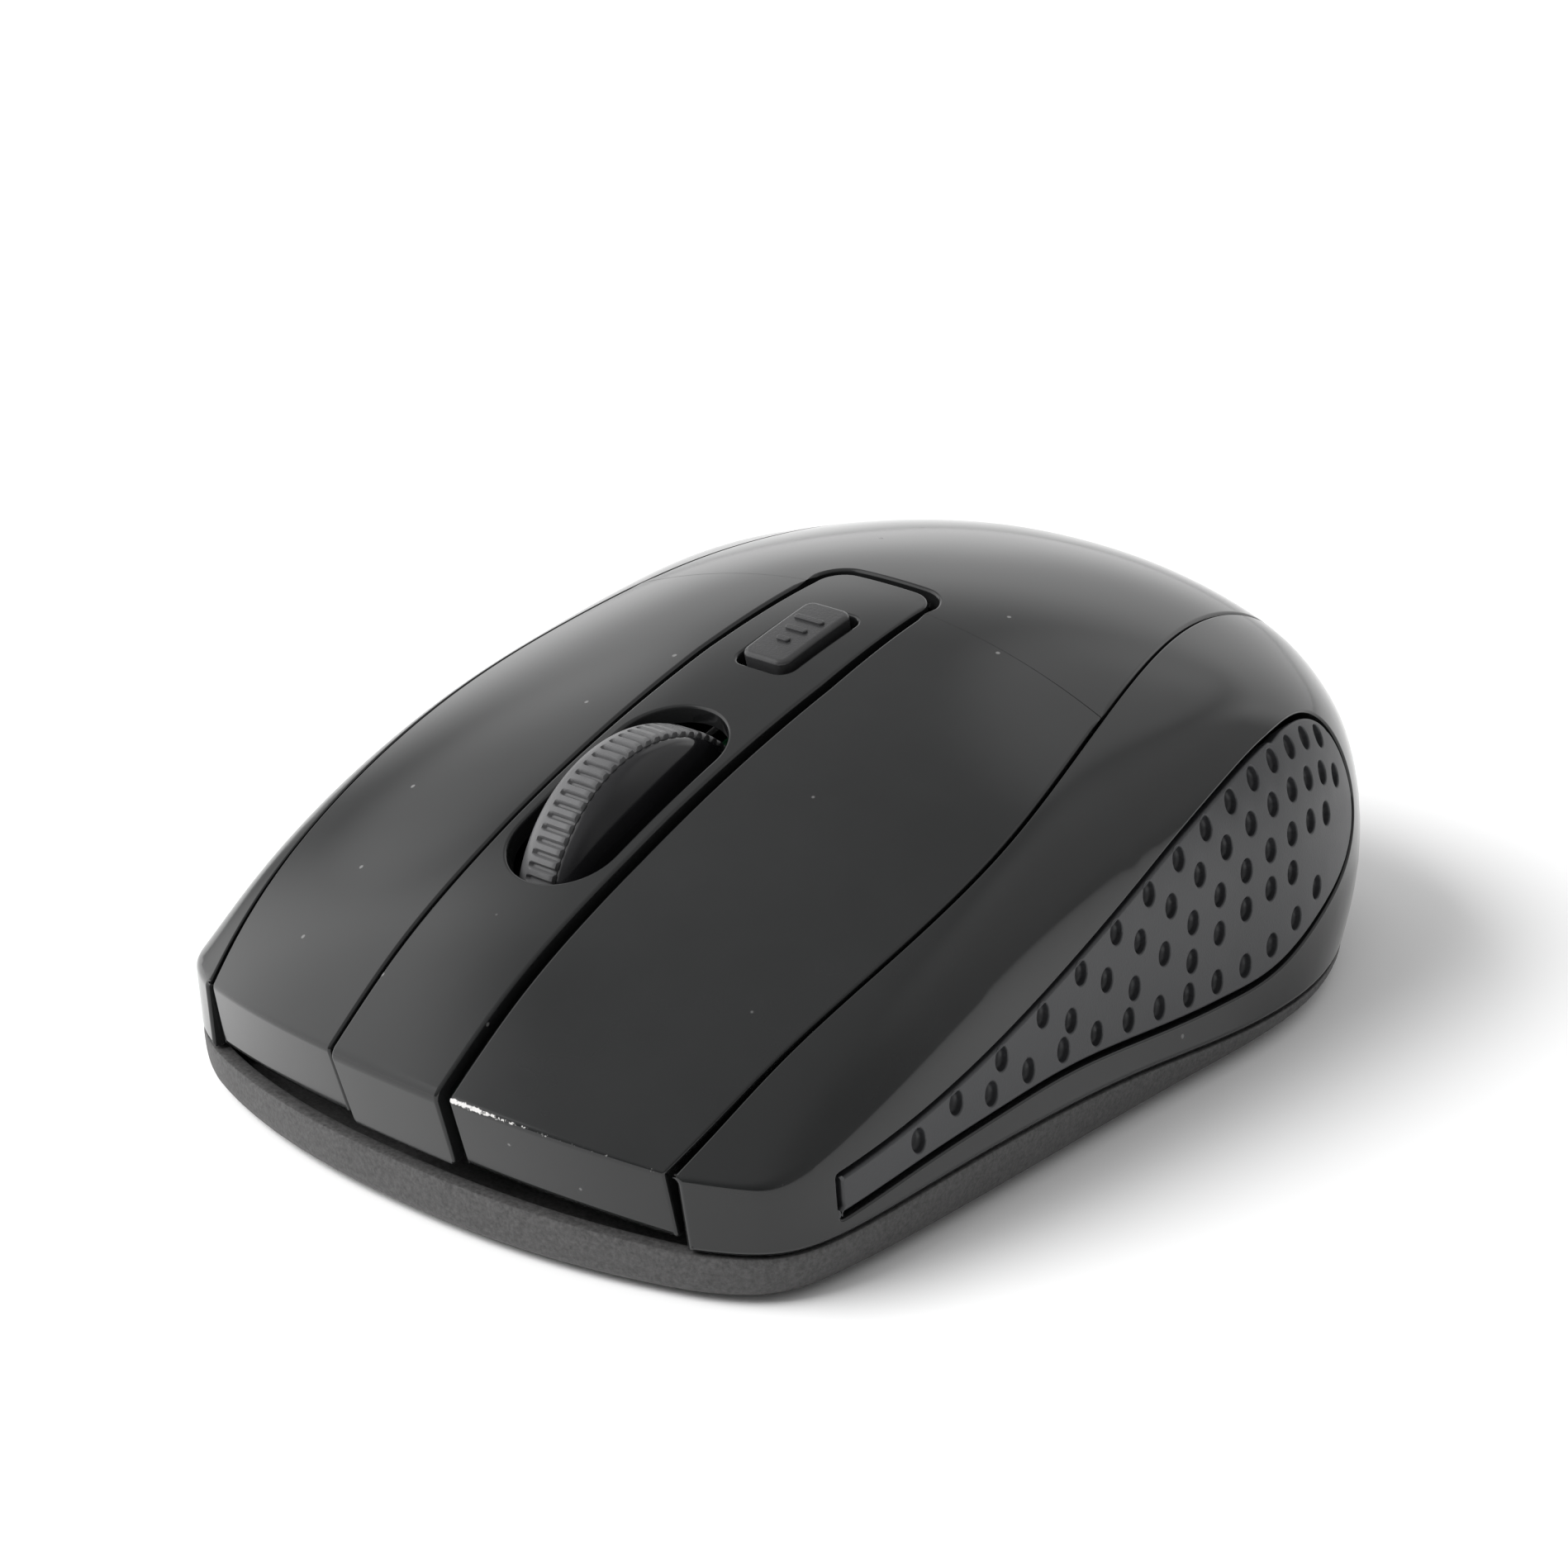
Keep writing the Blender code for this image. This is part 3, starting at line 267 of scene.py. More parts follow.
def round_corners(loop, radius, only=None):
    """Replaces each corner of a closed polygon that turns more than 25 degrees by an arc."""
    loop = np.asarray(loop, float)
    ahead, behind = np.roll(loop, -1, axis=0) - loop, loop - np.roll(loop, 1, axis=0)
    turn = np.arctan2(np.cross(behind, ahead), (behind * ahead).sum(1))
    made = []
    for p, a, b, angle in zip(loop, behind, ahead, turn):
        if abs(angle) < math.radians(25) or (only is not None and not only(p)):
            made.append(p)
            continue
        reach = radius * math.tan(abs(angle) / 2)
        start, end = p - a / np.linalg.norm(a) * reach, p + b / np.linalg.norm(b) * reach
        made += [parabola(start, p, end, f) for f in np.linspace(0, 1, 6)]
    return np.array(made)


def dense(loop, pitch=0.6):
    """Adds points so that no side of a closed loop is longer than pitch."""
    made = []
    for p, q in zip(loop, np.roll(loop, -1, axis=0)):
        count = max(1, math.ceil(np.linalg.norm(q - p) / pitch))
        made += [p + (q - p) * k / count for k in range(count)]
    return np.array(made)


def rounded(x0, x1, y0, y1, r, steps=8):
    """Rounded rectangle, counter-clockwise."""
    loop = []
    for cx, cy, turn in ((x1 - r, y1 - r, 0), (x0 + r, y1 - r, 1), (x0 + r, y0 + r, 2), (x1 - r, y0 + r, 3)):
        for k in range(steps + 1):
            a = math.pi / 2 * (turn + k / steps)
            loop.append((cx + r * math.cos(a), cy + r * math.sin(a)))
    return np.array(loop)


def counter_clockwise(loop):
    x, y = loop.T
    return loop if (x * np.roll(y, -1) - np.roll(x, -1) * y).sum() > 0 else loop[::-1]


def inset(lift, loop, d):
    """Closed loop moved d to its left along the skin, with the outward direction at each point."""
    n = normals(lift, loop)
    at = lift(loop)
    before, after = unit(at - np.roll(at, 1, axis=0)), unit(np.roll(at, -1, axis=0) - at)
    left0, left1 = unit(np.cross(n, before)), unit(np.cross(n, after))
    mitre = (left0 + left1) / (1 + (left0 * left1).sum(1, keepdims=True)).clip(0.4)
    return shift(lift, loop, mitre * np.broadcast_to(d, len(loop))[:, None]), -unit(mitre)


# ---- meshes
def place(name, data):
    obj = bpy.data.objects.new(name, data)
    scene.collection.objects.link(obj)
    return obj


def mesh_piece(name, points, faces, look, shading=None, mirror=False, wear=None):
    """A mesh object in metres from millimetre points, with its own vertex normals where they are given."""
    flip = (-1 if mirror else 1, 1, 1)
    faces = [tuple(map(int, f))[:: flip[0]] for f in faces]
    mesh = bpy.data.meshes.new(name)
    mesh.from_pydata((np.asarray(points, float) * flip * MM).tolist(), [], faces)
    if wear is not None:
        mesh.attributes.new("wear", "FLOAT", "POINT").data.foreach_set("value", np.asarray(wear, np.float32))
    mesh.shade_smooth()
    if shading is not None:
        mesh.normals_split_custom_set_from_vertices(unit(shading * np.array(flip)).tolist())
    mesh.materials.append(look)
    return place(name, mesh)


def triangulate(rings, grid, chains=()):
    """Constrained triangulation inside rings[0] and outside the others.

    Returns points, triangles and, for each point, its place in the rings' points or -1.
    """
    coords, edges = [], []
    for ring in rings:
        first = len(coords)
        coords += [tuple(p) for p in ring]
        edges += [(first + k, first + (k + 1) % len(ring)) for k in range(len(ring))]
    for chain in chains:
        first = len(coords)
        coords += [tuple(p) for p in chain]
        edges += [(first + k, first + k + 1) for k in range(len(chain) - 1)]
    coords += [tuple(p) for p in grid]
    found = delaunay_2d_cdt([Vector(c) for c in coords], edges, [], 0, 1e-6)
    flat, tris = np.array([tuple(v) for v in found[0]]), np.array([tuple(f) for f in found[2]])
    total = sum(map(len, rings))
    source = np.array([min(given) if given and min(given) < total else -1 for given in found[3]])
    return flat, tris[within(rings, flat[tris].mean(axis=1))], source


def hex_grid(rings, pitch, chains=(), clear=0.55):
    """Points in staggered rows inside rings[0] and outside the others, clear of rings and chains."""
    low, high = rings[0].min(axis=0), rings[0].max(axis=0)
    rows = np.arange(low[1] + pitch / 2, high[1], pitch * 0.87)
    grid = np.array([
        (x, y) for k, y in enumerate(rows) for x in np.arange(low[0] + (k % 2) * pitch / 2, high[0], pitch)
    ]).reshape(-1, 2)
    grid = grid[within(rings, grid)]
    for ring in rings:
        grid = grid[gap_to(ring, grid) > pitch * clear]
    for chain in chains:
        grid = grid[gap_to(chain, grid, closed=False) > pitch * 0.4]
    return grid


def chain_inside(points, rings):
    """The runs of a row of points that lie inside the rings, clear of them."""
    keep = within(rings, points)
    for ring in rings:
        keep &= gap_to(ring, points) > 0.2
    ends = np.flatnonzero(np.diff(keep)) + 1
    runs = zip(np.split(points, ends), np.split(keep, ends))
    return [run for run, good in runs if good[0] and len(run) > 1]


PIT = (1.1, 0.8, 0.9)  # half height, half width and depth of a dimple
PIT_EDGE, PIT_SIDES = 0.16, 20
# rings down a dimple's wall: share of its width, share of its depth, how far the shading faces outwards
PIT_WALL = ((0.97, 0.55, 0.1), (0.86, 0.86, 0.6), (0.62, 0.97, 0.9), (0.3, 1.0, 1.0))
UNDER_PITCH = 4.0  # pitch of the points on the hidden underside of a moulding


def moulding(name, loops, lift, look, thick=WALL, edge=0.3, pitch=1.3, raised=None, chains=(), pits=(),
             seam=None, lean=None, mirror=False, wear=None, steps=5):
    """A closed, thin-walled moulding on the skin with rounded edges.

    loops: outline, then windows. edge: radius of the rounding, a number or a function of coordinates.
    pits: centres of dimples. seam: how upright the walls stand, and lean: how far their feet draw
    towards -Y, both functions of coordinates.
    """
    def surface(p):
        return lift(p) if raised is None else lift(p) + normals(lift, p) * raised(p)[:, None]

    def inward(p, n):
        if seam is None and lean is None:
            return n
        down = n.copy()
        if seam is not None:
            down[:, 0] *= 1 - seam(p)
        if lean is not None:
            down[:, 1] += lean(p)
        return unit(down)

    points, shading, faces = [], [], []

    def add(where, normal):
        first = sum(map(len, points))
        points.append(where)
        shading.append(normal)
        return np.arange(first, first + len(where))

    def stitch(a, b):
        """Quads from ring a to ring b, where the surface lies to the left of a."""
        n = len(a)
        faces.extend((a[k], a[(k + 1) % n], b[(k + 1) % n], b[k]) for k in range(n))

    def stitch_each(rings, others):
        for ring, other in zip(rings.reshape(-1, PIT_SIDES), others.reshape(-1, PIT_SIDES)):
            stitch(ring, other)

    tops, bottoms = [], []
    loops = [counter_clockwise(loops[0])] + [counter_clockwise(loop)[::-1] for loop in loops[1:]]
    for loop in loops:
        r = np.broadcast_to(edge(loop) if callable(edge) else edge, len(loop)).astype(float)
        n0 = normals(surface, loop)
        down0 = inward(loop, n0)
        _, out = inset(surface, loop, 0.0)
        wall = unit(out - (out * down0).sum(1, keepdims=True) * down0)
        low = surface(loop) - down0 * thick
        last = add(low, wall)
        for k in range(steps + 1):
            a = math.pi / 2 * k / steps
            p, _ = inset(surface, loop, r * (1 - math.cos(a)))
            n = normals(surface, p)
            ring = add(surface(p) - inward(p, n) * (r * (1 - math.sin(a)))[:, None],
                       unit(math.cos(a) * wall + math.sin(a) * n))
            stitch(last, ring)
            last = ring
        tops.append((p, last))
        bottoms.append(low)
    if len(pits):
        centre = np.array(pits)
        n = normals(surface, centre)
        e1 = unit(jacobian(surface, centre)[0])
        turns = np.linspace(0, -math.tau, PIT_SIDES, endpoint=False)[None, :, None]
        spoke = PIT[0] * np.cos(turns) * e1[:, None] + PIT[1] * np.sin(turns) * np.cross(n, e1)[:, None]
        spoke = spoke.reshape(-1, 3)
        about, normal = np.repeat(centre, PIT_SIDES, axis=0), np.repeat(n, PIT_SIDES, axis=0)
        last = None
        for k in range(4, -1, -1):
            a = math.pi / 2 * k / 4
            p = shift(surface, about, spoke * (1 + PIT_EDGE * (1 - math.cos(a))))
            ring = add(surface(p) - normal * PIT_EDGE * (1 - math.sin(a)),
                       unit(-math.cos(a) * unit(spoke) + math.sin(a) * normal))
            if last is None:
                tops.extend(zip(p.reshape(-1, PIT_SIDES, 2), ring.reshape(-1, PIT_SIDES)))
            else:
                stitch_each(ring, last)
            last = ring
        for share, sink, facing in PIT_WALL:
            p = shift(surface, about, spoke * share)
            ring = add(surface(p) - normal * PIT[2] * sink,
                       unit(-(1 - facing) * unit(spoke) + facing * normal))
            stitch_each(ring, last)
            last = ring
        middle = add(surface(centre) - n * PIT[2], n)
        for c, rim in zip(middle, last.reshape(-1, PIT_SIDES)):
            faces.extend((rim[k], c, rim[(k + 1) % PIT_SIDES]) for k in range(PIT_SIDES))

    rings = [p for p, _ in tops]
    runs = [run for chain in chains for run in chain_inside(chain, rings)]
    grid = hex_grid(rings, pitch, runs)
    flat, tris, source = triangulate(rings, grid, runs)
    index = np.concatenate([ids for _, ids in tops])[source]
    new = source < 0
    index[new] = add(surface(flat[new]), normals(surface, flat[new]))
    faces.extend(tuple(index[t]) for t in tris)

    # underside
    under = hex_grid(loops, UNDER_PITCH, (), 0.4)
    flat, tris, source = triangulate(loops, under)
    n = normals(surface, flat)
    low = surface(flat) - inward(flat, n) * thick
    low[source >= 0] = np.vstack(bottoms)[source[source >= 0]]
    back = add(low, -n)
    faces.extend((back[c], back[b], back[a]) for a, b, c in tris)

    points, shading = np.vstack(points), np.vstack(shading)
    marks = None if wear is None else wear(points)
    return mesh_piece(name, points, faces, look, shading, mirror, marks)


def outwards(obj):
    """Turns every face of a closed mesh outwards."""
    shape = bmesh.new()
    shape.from_mesh(obj.data)
    bmesh.ops.recalc_face_normals(shape, faces=shape.faces)
    shape.to_mesh(obj.data)
    shape.free()
    return obj


SHARP = math.radians(40)  # edges of lofted and turned pieces are sharp past this angle
TRIM_SHARP = math.radians(35)  # and edges of cut pieces past this one


def loft(name, rings, look):
    """A closed, capped loft through rings of the same number of points."""
    n = len(rings[0])
    faces = []
    last = (len(rings) - 1) * n
    for low in range(0, last, n):
        faces += [(low + i, low + (i + 1) % n, low + n + (i + 1) % n, low + n + i) for i in range(n)]
    faces += [tuple(reversed(range(n))), tuple(range(last, last + n))]
    obj = outwards(mesh_piece(name, np.vstack(rings), faces, look))
    obj.data.set_sharp_from_angle(angle=SHARP)
    return obj


def turned(name, profile, look, centre, steps, carve=None):
    """Closed profile of (radius, x) turned about the X axis; carve sinks the radius."""
    radius, x = (np.repeat(v[None], steps, axis=0) for v in np.array(profile, float).T)
    a = (np.arange(steps) * math.tau / steps)[:, None]
    if carve is not None:
        radius = radius - carve(a, x, radius)
    points = np.stack([x, radius * np.cos(a), radius * np.sin(a)], axis=-1)
    m = len(profile)
    faces = [
        (j * m + i, ((j + 1) % steps) * m + i, ((j + 1) % steps) * m + (i + 1) % m, j * m + (i + 1) % m)
        for j in range(steps) for i in range(m)
    ]
    obj = outwards(mesh_piece(name, points.reshape(-1, 3) + np.array(centre, float), faces, look))
    obj.data.set_sharp_from_angle(angle=SHARP)
    return obj


def cut(obj, other, operation="DIFFERENCE"):
    """Cuts, joins or trims a mesh by another, which is then removed."""
    step = obj.modifiers.new(operation.lower(), "BOOLEAN")
    step.operation, step.object, step.solver = operation, other, "EXACT"
    bpy.context.view_layer.update()
    made = bpy.data.meshes.new_from_object(obj.evaluated_get(bpy.context.evaluated_depsgraph_get()))
    obj.modifiers.clear()
    obj.data = made
    bpy.data.objects.remove(other)


def stand_for(obj, node):
    """Puts a mesh in the place of a CAD node, on the same body."""
    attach(obj, BODY_OF[node])
    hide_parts(node)


# ---- materials
def plug(tree, socket, value):
    """Links a socket to an output, or sets it to a value."""
    if isinstance(value, bpy.types.NodeSocket):
        tree.links.new(value, socket)
    else:
        socket.default_value = value


class Look:
    """A Principled material that is built up node by node."""

    def __init__(self, name, color, roughness, metallic=0.0, **sockets):
        self.color, self.roughness = color, roughness
        self.material = bpy.data.materials.new(name)
        self.material.use_nodes = True
        self.tree = self.material.node_tree
        self.shader = self.tree.nodes["Principled BSDF"]
        self.set(Base_Color=(*color, 1.0), Roughness=roughness, Metallic=metallic, **sockets)
        self.where = self.tree.nodes.new("ShaderNodeTexCoord").outputs["Object"]

    def set(self, **sockets):
        for key, value in sockets.items():
            self.shader.inputs[key.replace("_", " ")].default_value = value

    def node(self, kind, **inputs):
        made = self.tree.nodes.new("ShaderNode" + kind)
        for key, value in inputs.items():
            plug(self.tree, made.inputs[key.replace("_", " ")], value)
        return made

    def link(self, output, key):
        self.tree.links.new(output, self.shader.inputs[key])

    def noise(self, scale, detail=3.0, rough=0.55, lacunarity=2.0):
        return self.node("TexNoise", Vector=self.where, Scale=scale, Detail=detail, Roughness=rough,
                         Lacunarity=lacunarity).outputs["Fac"]

    def remap(self, value, low=0.3, high=0.7, to_low=0.0, to_high=1.0):
        made = self.node("MapRange", Value=value)
        for key, number in (("From Min", low), ("From Max", high), ("To Min", to_low), ("To Max", to_high)):
            made.inputs[key].default_value = number
        return made.outputs["Result"]

    def mix(self, share, a, b):
        made = self.tree.nodes.new("ShaderNodeMix")
        made.data_type = "RGBA"
        for socket, value in ((made.inputs[0], share), (made.inputs[6], a), (made.inputs[7], b)):
            plug(self.tree, socket, (*value, 1.0) if isinstance(value, tuple) else value)
        return made.outputs[2]

    def tone(self, share, dark, light):
        """A colour from dark to light times the material's own."""
        low, high = (tuple(min(1.0, factor * c) for c in self.color) for factor in (dark, light))
        return self.mix(share, low, high)

    def vary(self, value, dark, light):
        """Colours the material from dark to light times its own colour."""
        self.link(self.tone(self.remap(value), dark, light), "Base Color")

    def roughen(self, value, smoother, rougher):
        """Varies the roughness between these amounts off its own."""
        made = self.remap(value, to_low=self.roughness + smoother, to_high=self.roughness + rougher)
        self.link(made, "Roughness")

    def math(self, operation, a, b=0.0):
        made = self.tree.nodes.new("ShaderNodeMath")
        made.operation = operation
        for socket, value in zip(made.inputs, (a, b)):
            plug(self.tree, socket, value)
        return made.outputs[0]

    def bump(self, height, strength, distance):
        made = self.node("Bump", Strength=strength, Distance=distance, Height=height)
        self.link(made.outputs["Normal"], "Normal")

    def specks(self, scale, size, share):
        """1 in sparse round specks."""
        cells = self.node("TexVoronoi", Vector=self.where, Scale=scale)
        near = self.remap(cells.outputs["Distance"], size, size * 0.6)
        pick = self.node("SeparateColor", Color=cells.outputs["Color"]).outputs["Red"]
        return self.math("MULTIPLY", near, self.math("LESS_THAN", pick, share))


def gloss(name, color=(0.0125, 0.013, 0.0132), worn=False):
    """Piano-black moulded plastic with faint smears, a few dust specks and, where worn, a scuffed crease."""
    look = Look(name, color, 0.1, IOR=1.48)
    smear = look.noise(42.0, 4.0, 0.6)
    fine = look.noise(260.0, 2.0, 0.5)
    dust = look.specks(330.0, 0.085, 0.10)
    rough = look.math("ADD", look.remap(smear, 0.35, 0.7, 0.085, 0.15), look.math("MULTIPLY", dust, 0.4))
    look.link(rough, "Roughness")
    tone = look.tone(look.remap(smear, 0.3, 0.75), 0.85, 1.25)
    tone = look.mix(dust, tone, (0.16, 0.16, 0.16))
    if worn:
        mark = look.node("Attribute")
        mark.attribute_name = "wear"
        grains = look.noise(4200.0, 2.0, 0.6)
        chips = look.math("ADD", mark.outputs["Fac"], look.math("MULTIPLY", grains, 0.9))
        tone = look.mix(look.remap(chips, 1.08, 1.2), tone, (0.62, 0.61, 0.6))
    look.link(tone, "Base Color")
    look.bump(look.math("ADD", fine, look.math("MULTIPLY", dust, 2.0)), 0.05, 0.00004)
    return look.material


def matte(name):
    """Spark-textured moulding."""
    look = Look(name, (0.055, 0.054, 0.054), 0.58, IOR=1.5)
    grains = look.noise(2600.0, 3.0, 0.7)
    look.vary(grains, 0.6, 1.5)
    look.roughen(look.noise(90.0), -0.06, 0.06)
    look.bump(grains, 0.7, 0.00007)
    return look.material


def rubber(name, color=(0.04, 0.041, 0.044), roughness=0.42, grain=5200.0, depth=0.00003):
    """Satin rubber or soft plastic with a fine grain."""
    look = Look(name, color, roughness, IOR=1.5)
    grains = look.noise(grain, 2.0, 0.6)
    broad = look.noise(110.0, 3.0, 0.6)
    look.vary(broad, 0.85, 1.2)
    look.roughen(broad, -0.05, 0.07)
    look.bump(grains, 0.5, depth)
    return look.material


def metal(name, color, roughness=0.28):
    look = Look(name, color, roughness, metallic=1.0)
    lines = look.noise(900.0, 4.0, 0.6)
    look.roughen(lines, -0.08, 0.1)
    look.vary(look.noise(150.0), 0.8, 1.0)
    look.bump(lines, 0.2, 0.00002)
    return look.material


def plastic(name, color, roughness=0.4):
    look = Look(name, color, roughness)
    broad = look.noise(300.0, 4.0, 0.6)
    look.vary(broad, 0.8, 1.15)
    look.roughen(broad, -0.05, 0.08)
    look.bump(look.noise(3000.0, 2.0), 0.3, 0.00002)
    return look.material


def clear_look(name, color, roughness, clearness):
    look = Look(name, color, roughness, IOR=1.5, Transmission_Weight=clearness)
    look.bump(look.noise(400.0), 0.1, 0.00002)
    return look.material


def board_look(name):
    """Green solder mask over faint copper tracks."""
    look = Look(name, (0.01, 0.09, 0.035), 0.35, Coat_Weight=0.3)
    cells = look.node("TexVoronoi", Vector=look.where, Scale=420.0)
    cells.feature = "DISTANCE_TO_EDGE"
    track = look.remap(cells.outputs["Distance"], 0.02, 0.05, 1.0, 0.0)
    look.link(look.mix(track, (0.008, 0.075, 0.03), (0.03, 0.17, 0.06)), "Base Color")
    look.bump(track, 0.3, 0.00004)
    return look.material


# ---- moulded outlines
def strip_half(u):
    at, half = np.array(STRIP_HALF).T
    return np.interp(u, at, half)


def seam_gap(u):
    """Half of the gap between the top mouldings and the side panels: open at the front, a hairline behind."""
    return 0.1 + 0.22 * np.clip(1 - u / 26.0, 0, 1) ** 1.5


def steps_of(u0, u1, pitch=0.7):
    """Values of U from u0 to u1, close together beside the front crease."""
    fine = np.arange(-0.9, 0.91, 0.12)
    coarse = np.linspace(u0, u1, max(2, int((u1 - u0) / pitch) + 1))
    both = np.concatenate([coarse[(np.abs(coarse) > 0.95)], fine[(fine > u0) & (fine < u1)]])
    return np.sort(both)


def strip_edge(grow):
    """Right half of the strip's outline, front to rear, widened by grow."""
    rear = u_of_y(STRIP_REAR_Y) + grow
    r = STRIP_CORNER + grow * 0.5
    u = steps_of(FRONT_U, rear - r)
    side = np.c_[strip_half(u) + grow, u]
    a = np.linspace(0, math.pi / 2, 12)[1:]
    return np.vstack([side, np.c_[side[-1, 0] - r + r * np.cos(a), rear - r + r * np.sin(a)]])


def line(a, b, pitch=0.7):
    n = max(2, int(math.dist(a, b) / pitch) + 1)
    return np.linspace(a, b, n)


FLEX_U = float(u_of_y(FLEX_Y))


def key_loop():
    u = steps_of(FRONT_U, FLEX_U)
    outer = np.c_[seam_x(u) - seam_gap(u), u]
    inner = np.c_[strip_half(u) + STRIP_GAP, u]
    loop = np.vstack([outer, line(outer[-1], inner[-1])[1:-1], inner[::-1], line(inner[0], outer[0])[1:-1]])
    loop[:, 1] = np.minimum(loop[:, 1], FLEX_U - 0.015 - 0.05 * (loop[:, 0] / 24) ** 2)
    return round_corners(loop, 0.45, only=lambda p: p[1] < FRONT_U + 0.01)


def cover_loop():
    notch = strip_edge(STRIP_GAP)[::-1]
    notch = notch[notch[:, 1] > FLEX_U + 0.2]
    start = (float(strip_half(FLEX_U)) + STRIP_GAP, FLEX_U)
    u = np.linspace(FLEX_U, TAIL_U, 90)
    seam = np.c_[seam_x(u) - seam_gap(u), u]
    half = np.vstack([notch, line(start, seam[0])[:-1], seam, line(seam[-1], (0.0, TAIL_U))[1:-1]])
    return dense(np.vstack([half, [(0.0, TAIL_U)], half[::-1] * (-1, 1)]), 0.75)


TOP_EDGE = 0.32  # rounding of the top mouldings' edges


def flex_edge(p):
    """Edge rounding that vanishes where the keys run into the cover."""
    away = np.abs(p[:, 1] - FLEX_U) - 0.1
    return np.where(away < 0, 0.004, TOP_EDGE * np.clip(away / 1.2, 0.02, 1))


def flex_lean(p):
    """Draws the foot of a key's rear wall forward, clear of the cover when the key is pressed."""
    return 0.1 * np.clip(1 - (FLEX_U - p[:, 1]) / 3, 0, 1)


def upright_top(p):
    """Walls of the cover stand upright beside its seam."""
    return np.clip(1 - (seam_x(p[:, 1]) - np.abs(p[:, 0])) / 4, 0, 1)


def upright_side(p):
    """Walls of the side panels stand upright beside the seam."""
    return np.clip(1 - (p[:, 0] / T_SCALE - 1) / 0.35, 0, 1)


# rows of points that follow the rounded creases
CREASE_X = np.arange(-30, 30, 0.55)
CREASE_U = (-0.8, -0.45, -0.3, -0.15, 0.0, 0.15, 0.3, 0.45, 0.8)
CREASE_ROWS = [np.c_[CREASE_X, np.full(len(CREASE_X), u)] for u in CREASE_U]
SHOULDER_T = (1.9, 1.95, 2.0, 2.05, 2.1)
SHOULDER_ROWS = [np.c_[np.full(120, t * T_SCALE), np.linspace(0, 40, 120)] for t in SHOULDER_T]


def side_param(yz):
    """Side coordinates of the skin points that stand at these (y, z)."""
    s, t = np.meshgrid(np.linspace(0, LAST, 130), np.linspace(1.3, 3, 70), indexing="ij")
    p = np.c_[t.ravel() * T_SCALE, s.ravel() * S_SCALE]
    flat = side_point(p)[:, 1:]
    p = p[[np.argmin(((flat - q) ** 2).sum(axis=1)) for q in yz]]
    for _ in range(12):
        miss = yz - side_point(p)[:, 1:]
        a, b = (v[:, 1:] for v in jacobian(side_point, p))
        det = a[:, 0] * b[:, 1] - a[:, 1] * b[:, 0]
        det = np.where(np.abs(det) < 0.05, 0.05 * np.sign(det + 1e-9), det)
        along_t = (miss[:, 0] * b[:, 1] - miss[:, 1] * b[:, 0]) / det
        along_s = (a[:, 0] * miss[:, 1] - a[:, 1] * miss[:, 0]) / det
        p = p + np.c_[along_t, along_s].clip(-2, 2)
    return p


def grip_outline(count=220):
    """Recess outline in (y, z), smooth but for its two front corners."""
    outline = np.array([(0.0, *p) for p in GRIP_OUTLINE])
    return along(outline, np.linspace(0, len(outline) - 1, count))[:, 1:]


def grip_loop():
    loop = grip_outline()
    loop = np.vstack([loop, line(loop[-1], loop[0], 0.5)[1:-1]])
    return counter_clockwise(side_param(round_corners(loop, 0.5)))


def panel_loop():
    s = np.linspace(0, LAST - 0.12, 170)
    gap = seam_gap(np.interp(s, _S, _U)) * T_SCALE / np.maximum(length(skin(s, 2.0) - skin(s, 1.0)), 1.2)
    upper = np.c_[T_SCALE + gap, s * S_SCALE]
    lower = np.c_[np.full(len(s), 3 * T_SCALE), s * S_SCALE]
    front = np.c_[np.linspace(3 * T_SCALE, upper[0, 0], 60), np.zeros(60)]
    return counter_clockwise(np.vstack([upper, line(upper[-1], lower[-1])[1:-1], lower[::-1], front[1:-1]]))


# ---- top mouldings
def wear_on_crease(points):
    """Scuffs along the front crease, most at the corner beside the strip."""
    crease = skin(0.0 * points[:, 0], points[:, 0] / SEAM[0, 0])
    near = np.exp(-((length(points - crease) / 0.4) ** 2))
    return near * (0.55 + 0.5 * np.exp(-(((np.abs(points[:, 0]) - 6.5) / 6.0) ** 2)))


def strip_raise(p):
    """The strip stands proud of the keys, less so towards its rear."""
    return np.interp(p[:, 1], (0.0, 30.0, 66.0), (0.5, 0.4, -0.1))


def raised_by(height):
    return lambda p: np.full(len(p), height)


def strip_loop():
    half = strip_edge(0.0)
    front = line((-half[0, 0], FRONT_U), (half[0, 0], FRONT_U))[1:-1]
    return dense(round_corners(np.vstack([half, (half * (-1, 1))[::-1], front]), 0.4))


def wheel_slot():
    middle, reach, r = u_of_y(WHEEL_SLOT_Y), WHEEL_SLOT_LENGTH / 2 * 1.08, WHEEL_SLOT_HALF
    return dense(rounded(-r, r, middle - reach, middle + reach, r - 0.01, 16))


CPI_U = u_of_y(CPI_Y)
CPI_GAP = 0.6
MARK_HALF, MARK_PITCH = 0.3, 1.75  # the three level marks on the button


def cpi_outline(gap, corner):
    """Outline of the resolution button with a gap around it."""
    h, w = CPI_LENGTH / 2 + gap, CPI_HALF + gap
    return dense(rounded(-w, w, CPI_U - h, CPI_U + h, corner, 8))


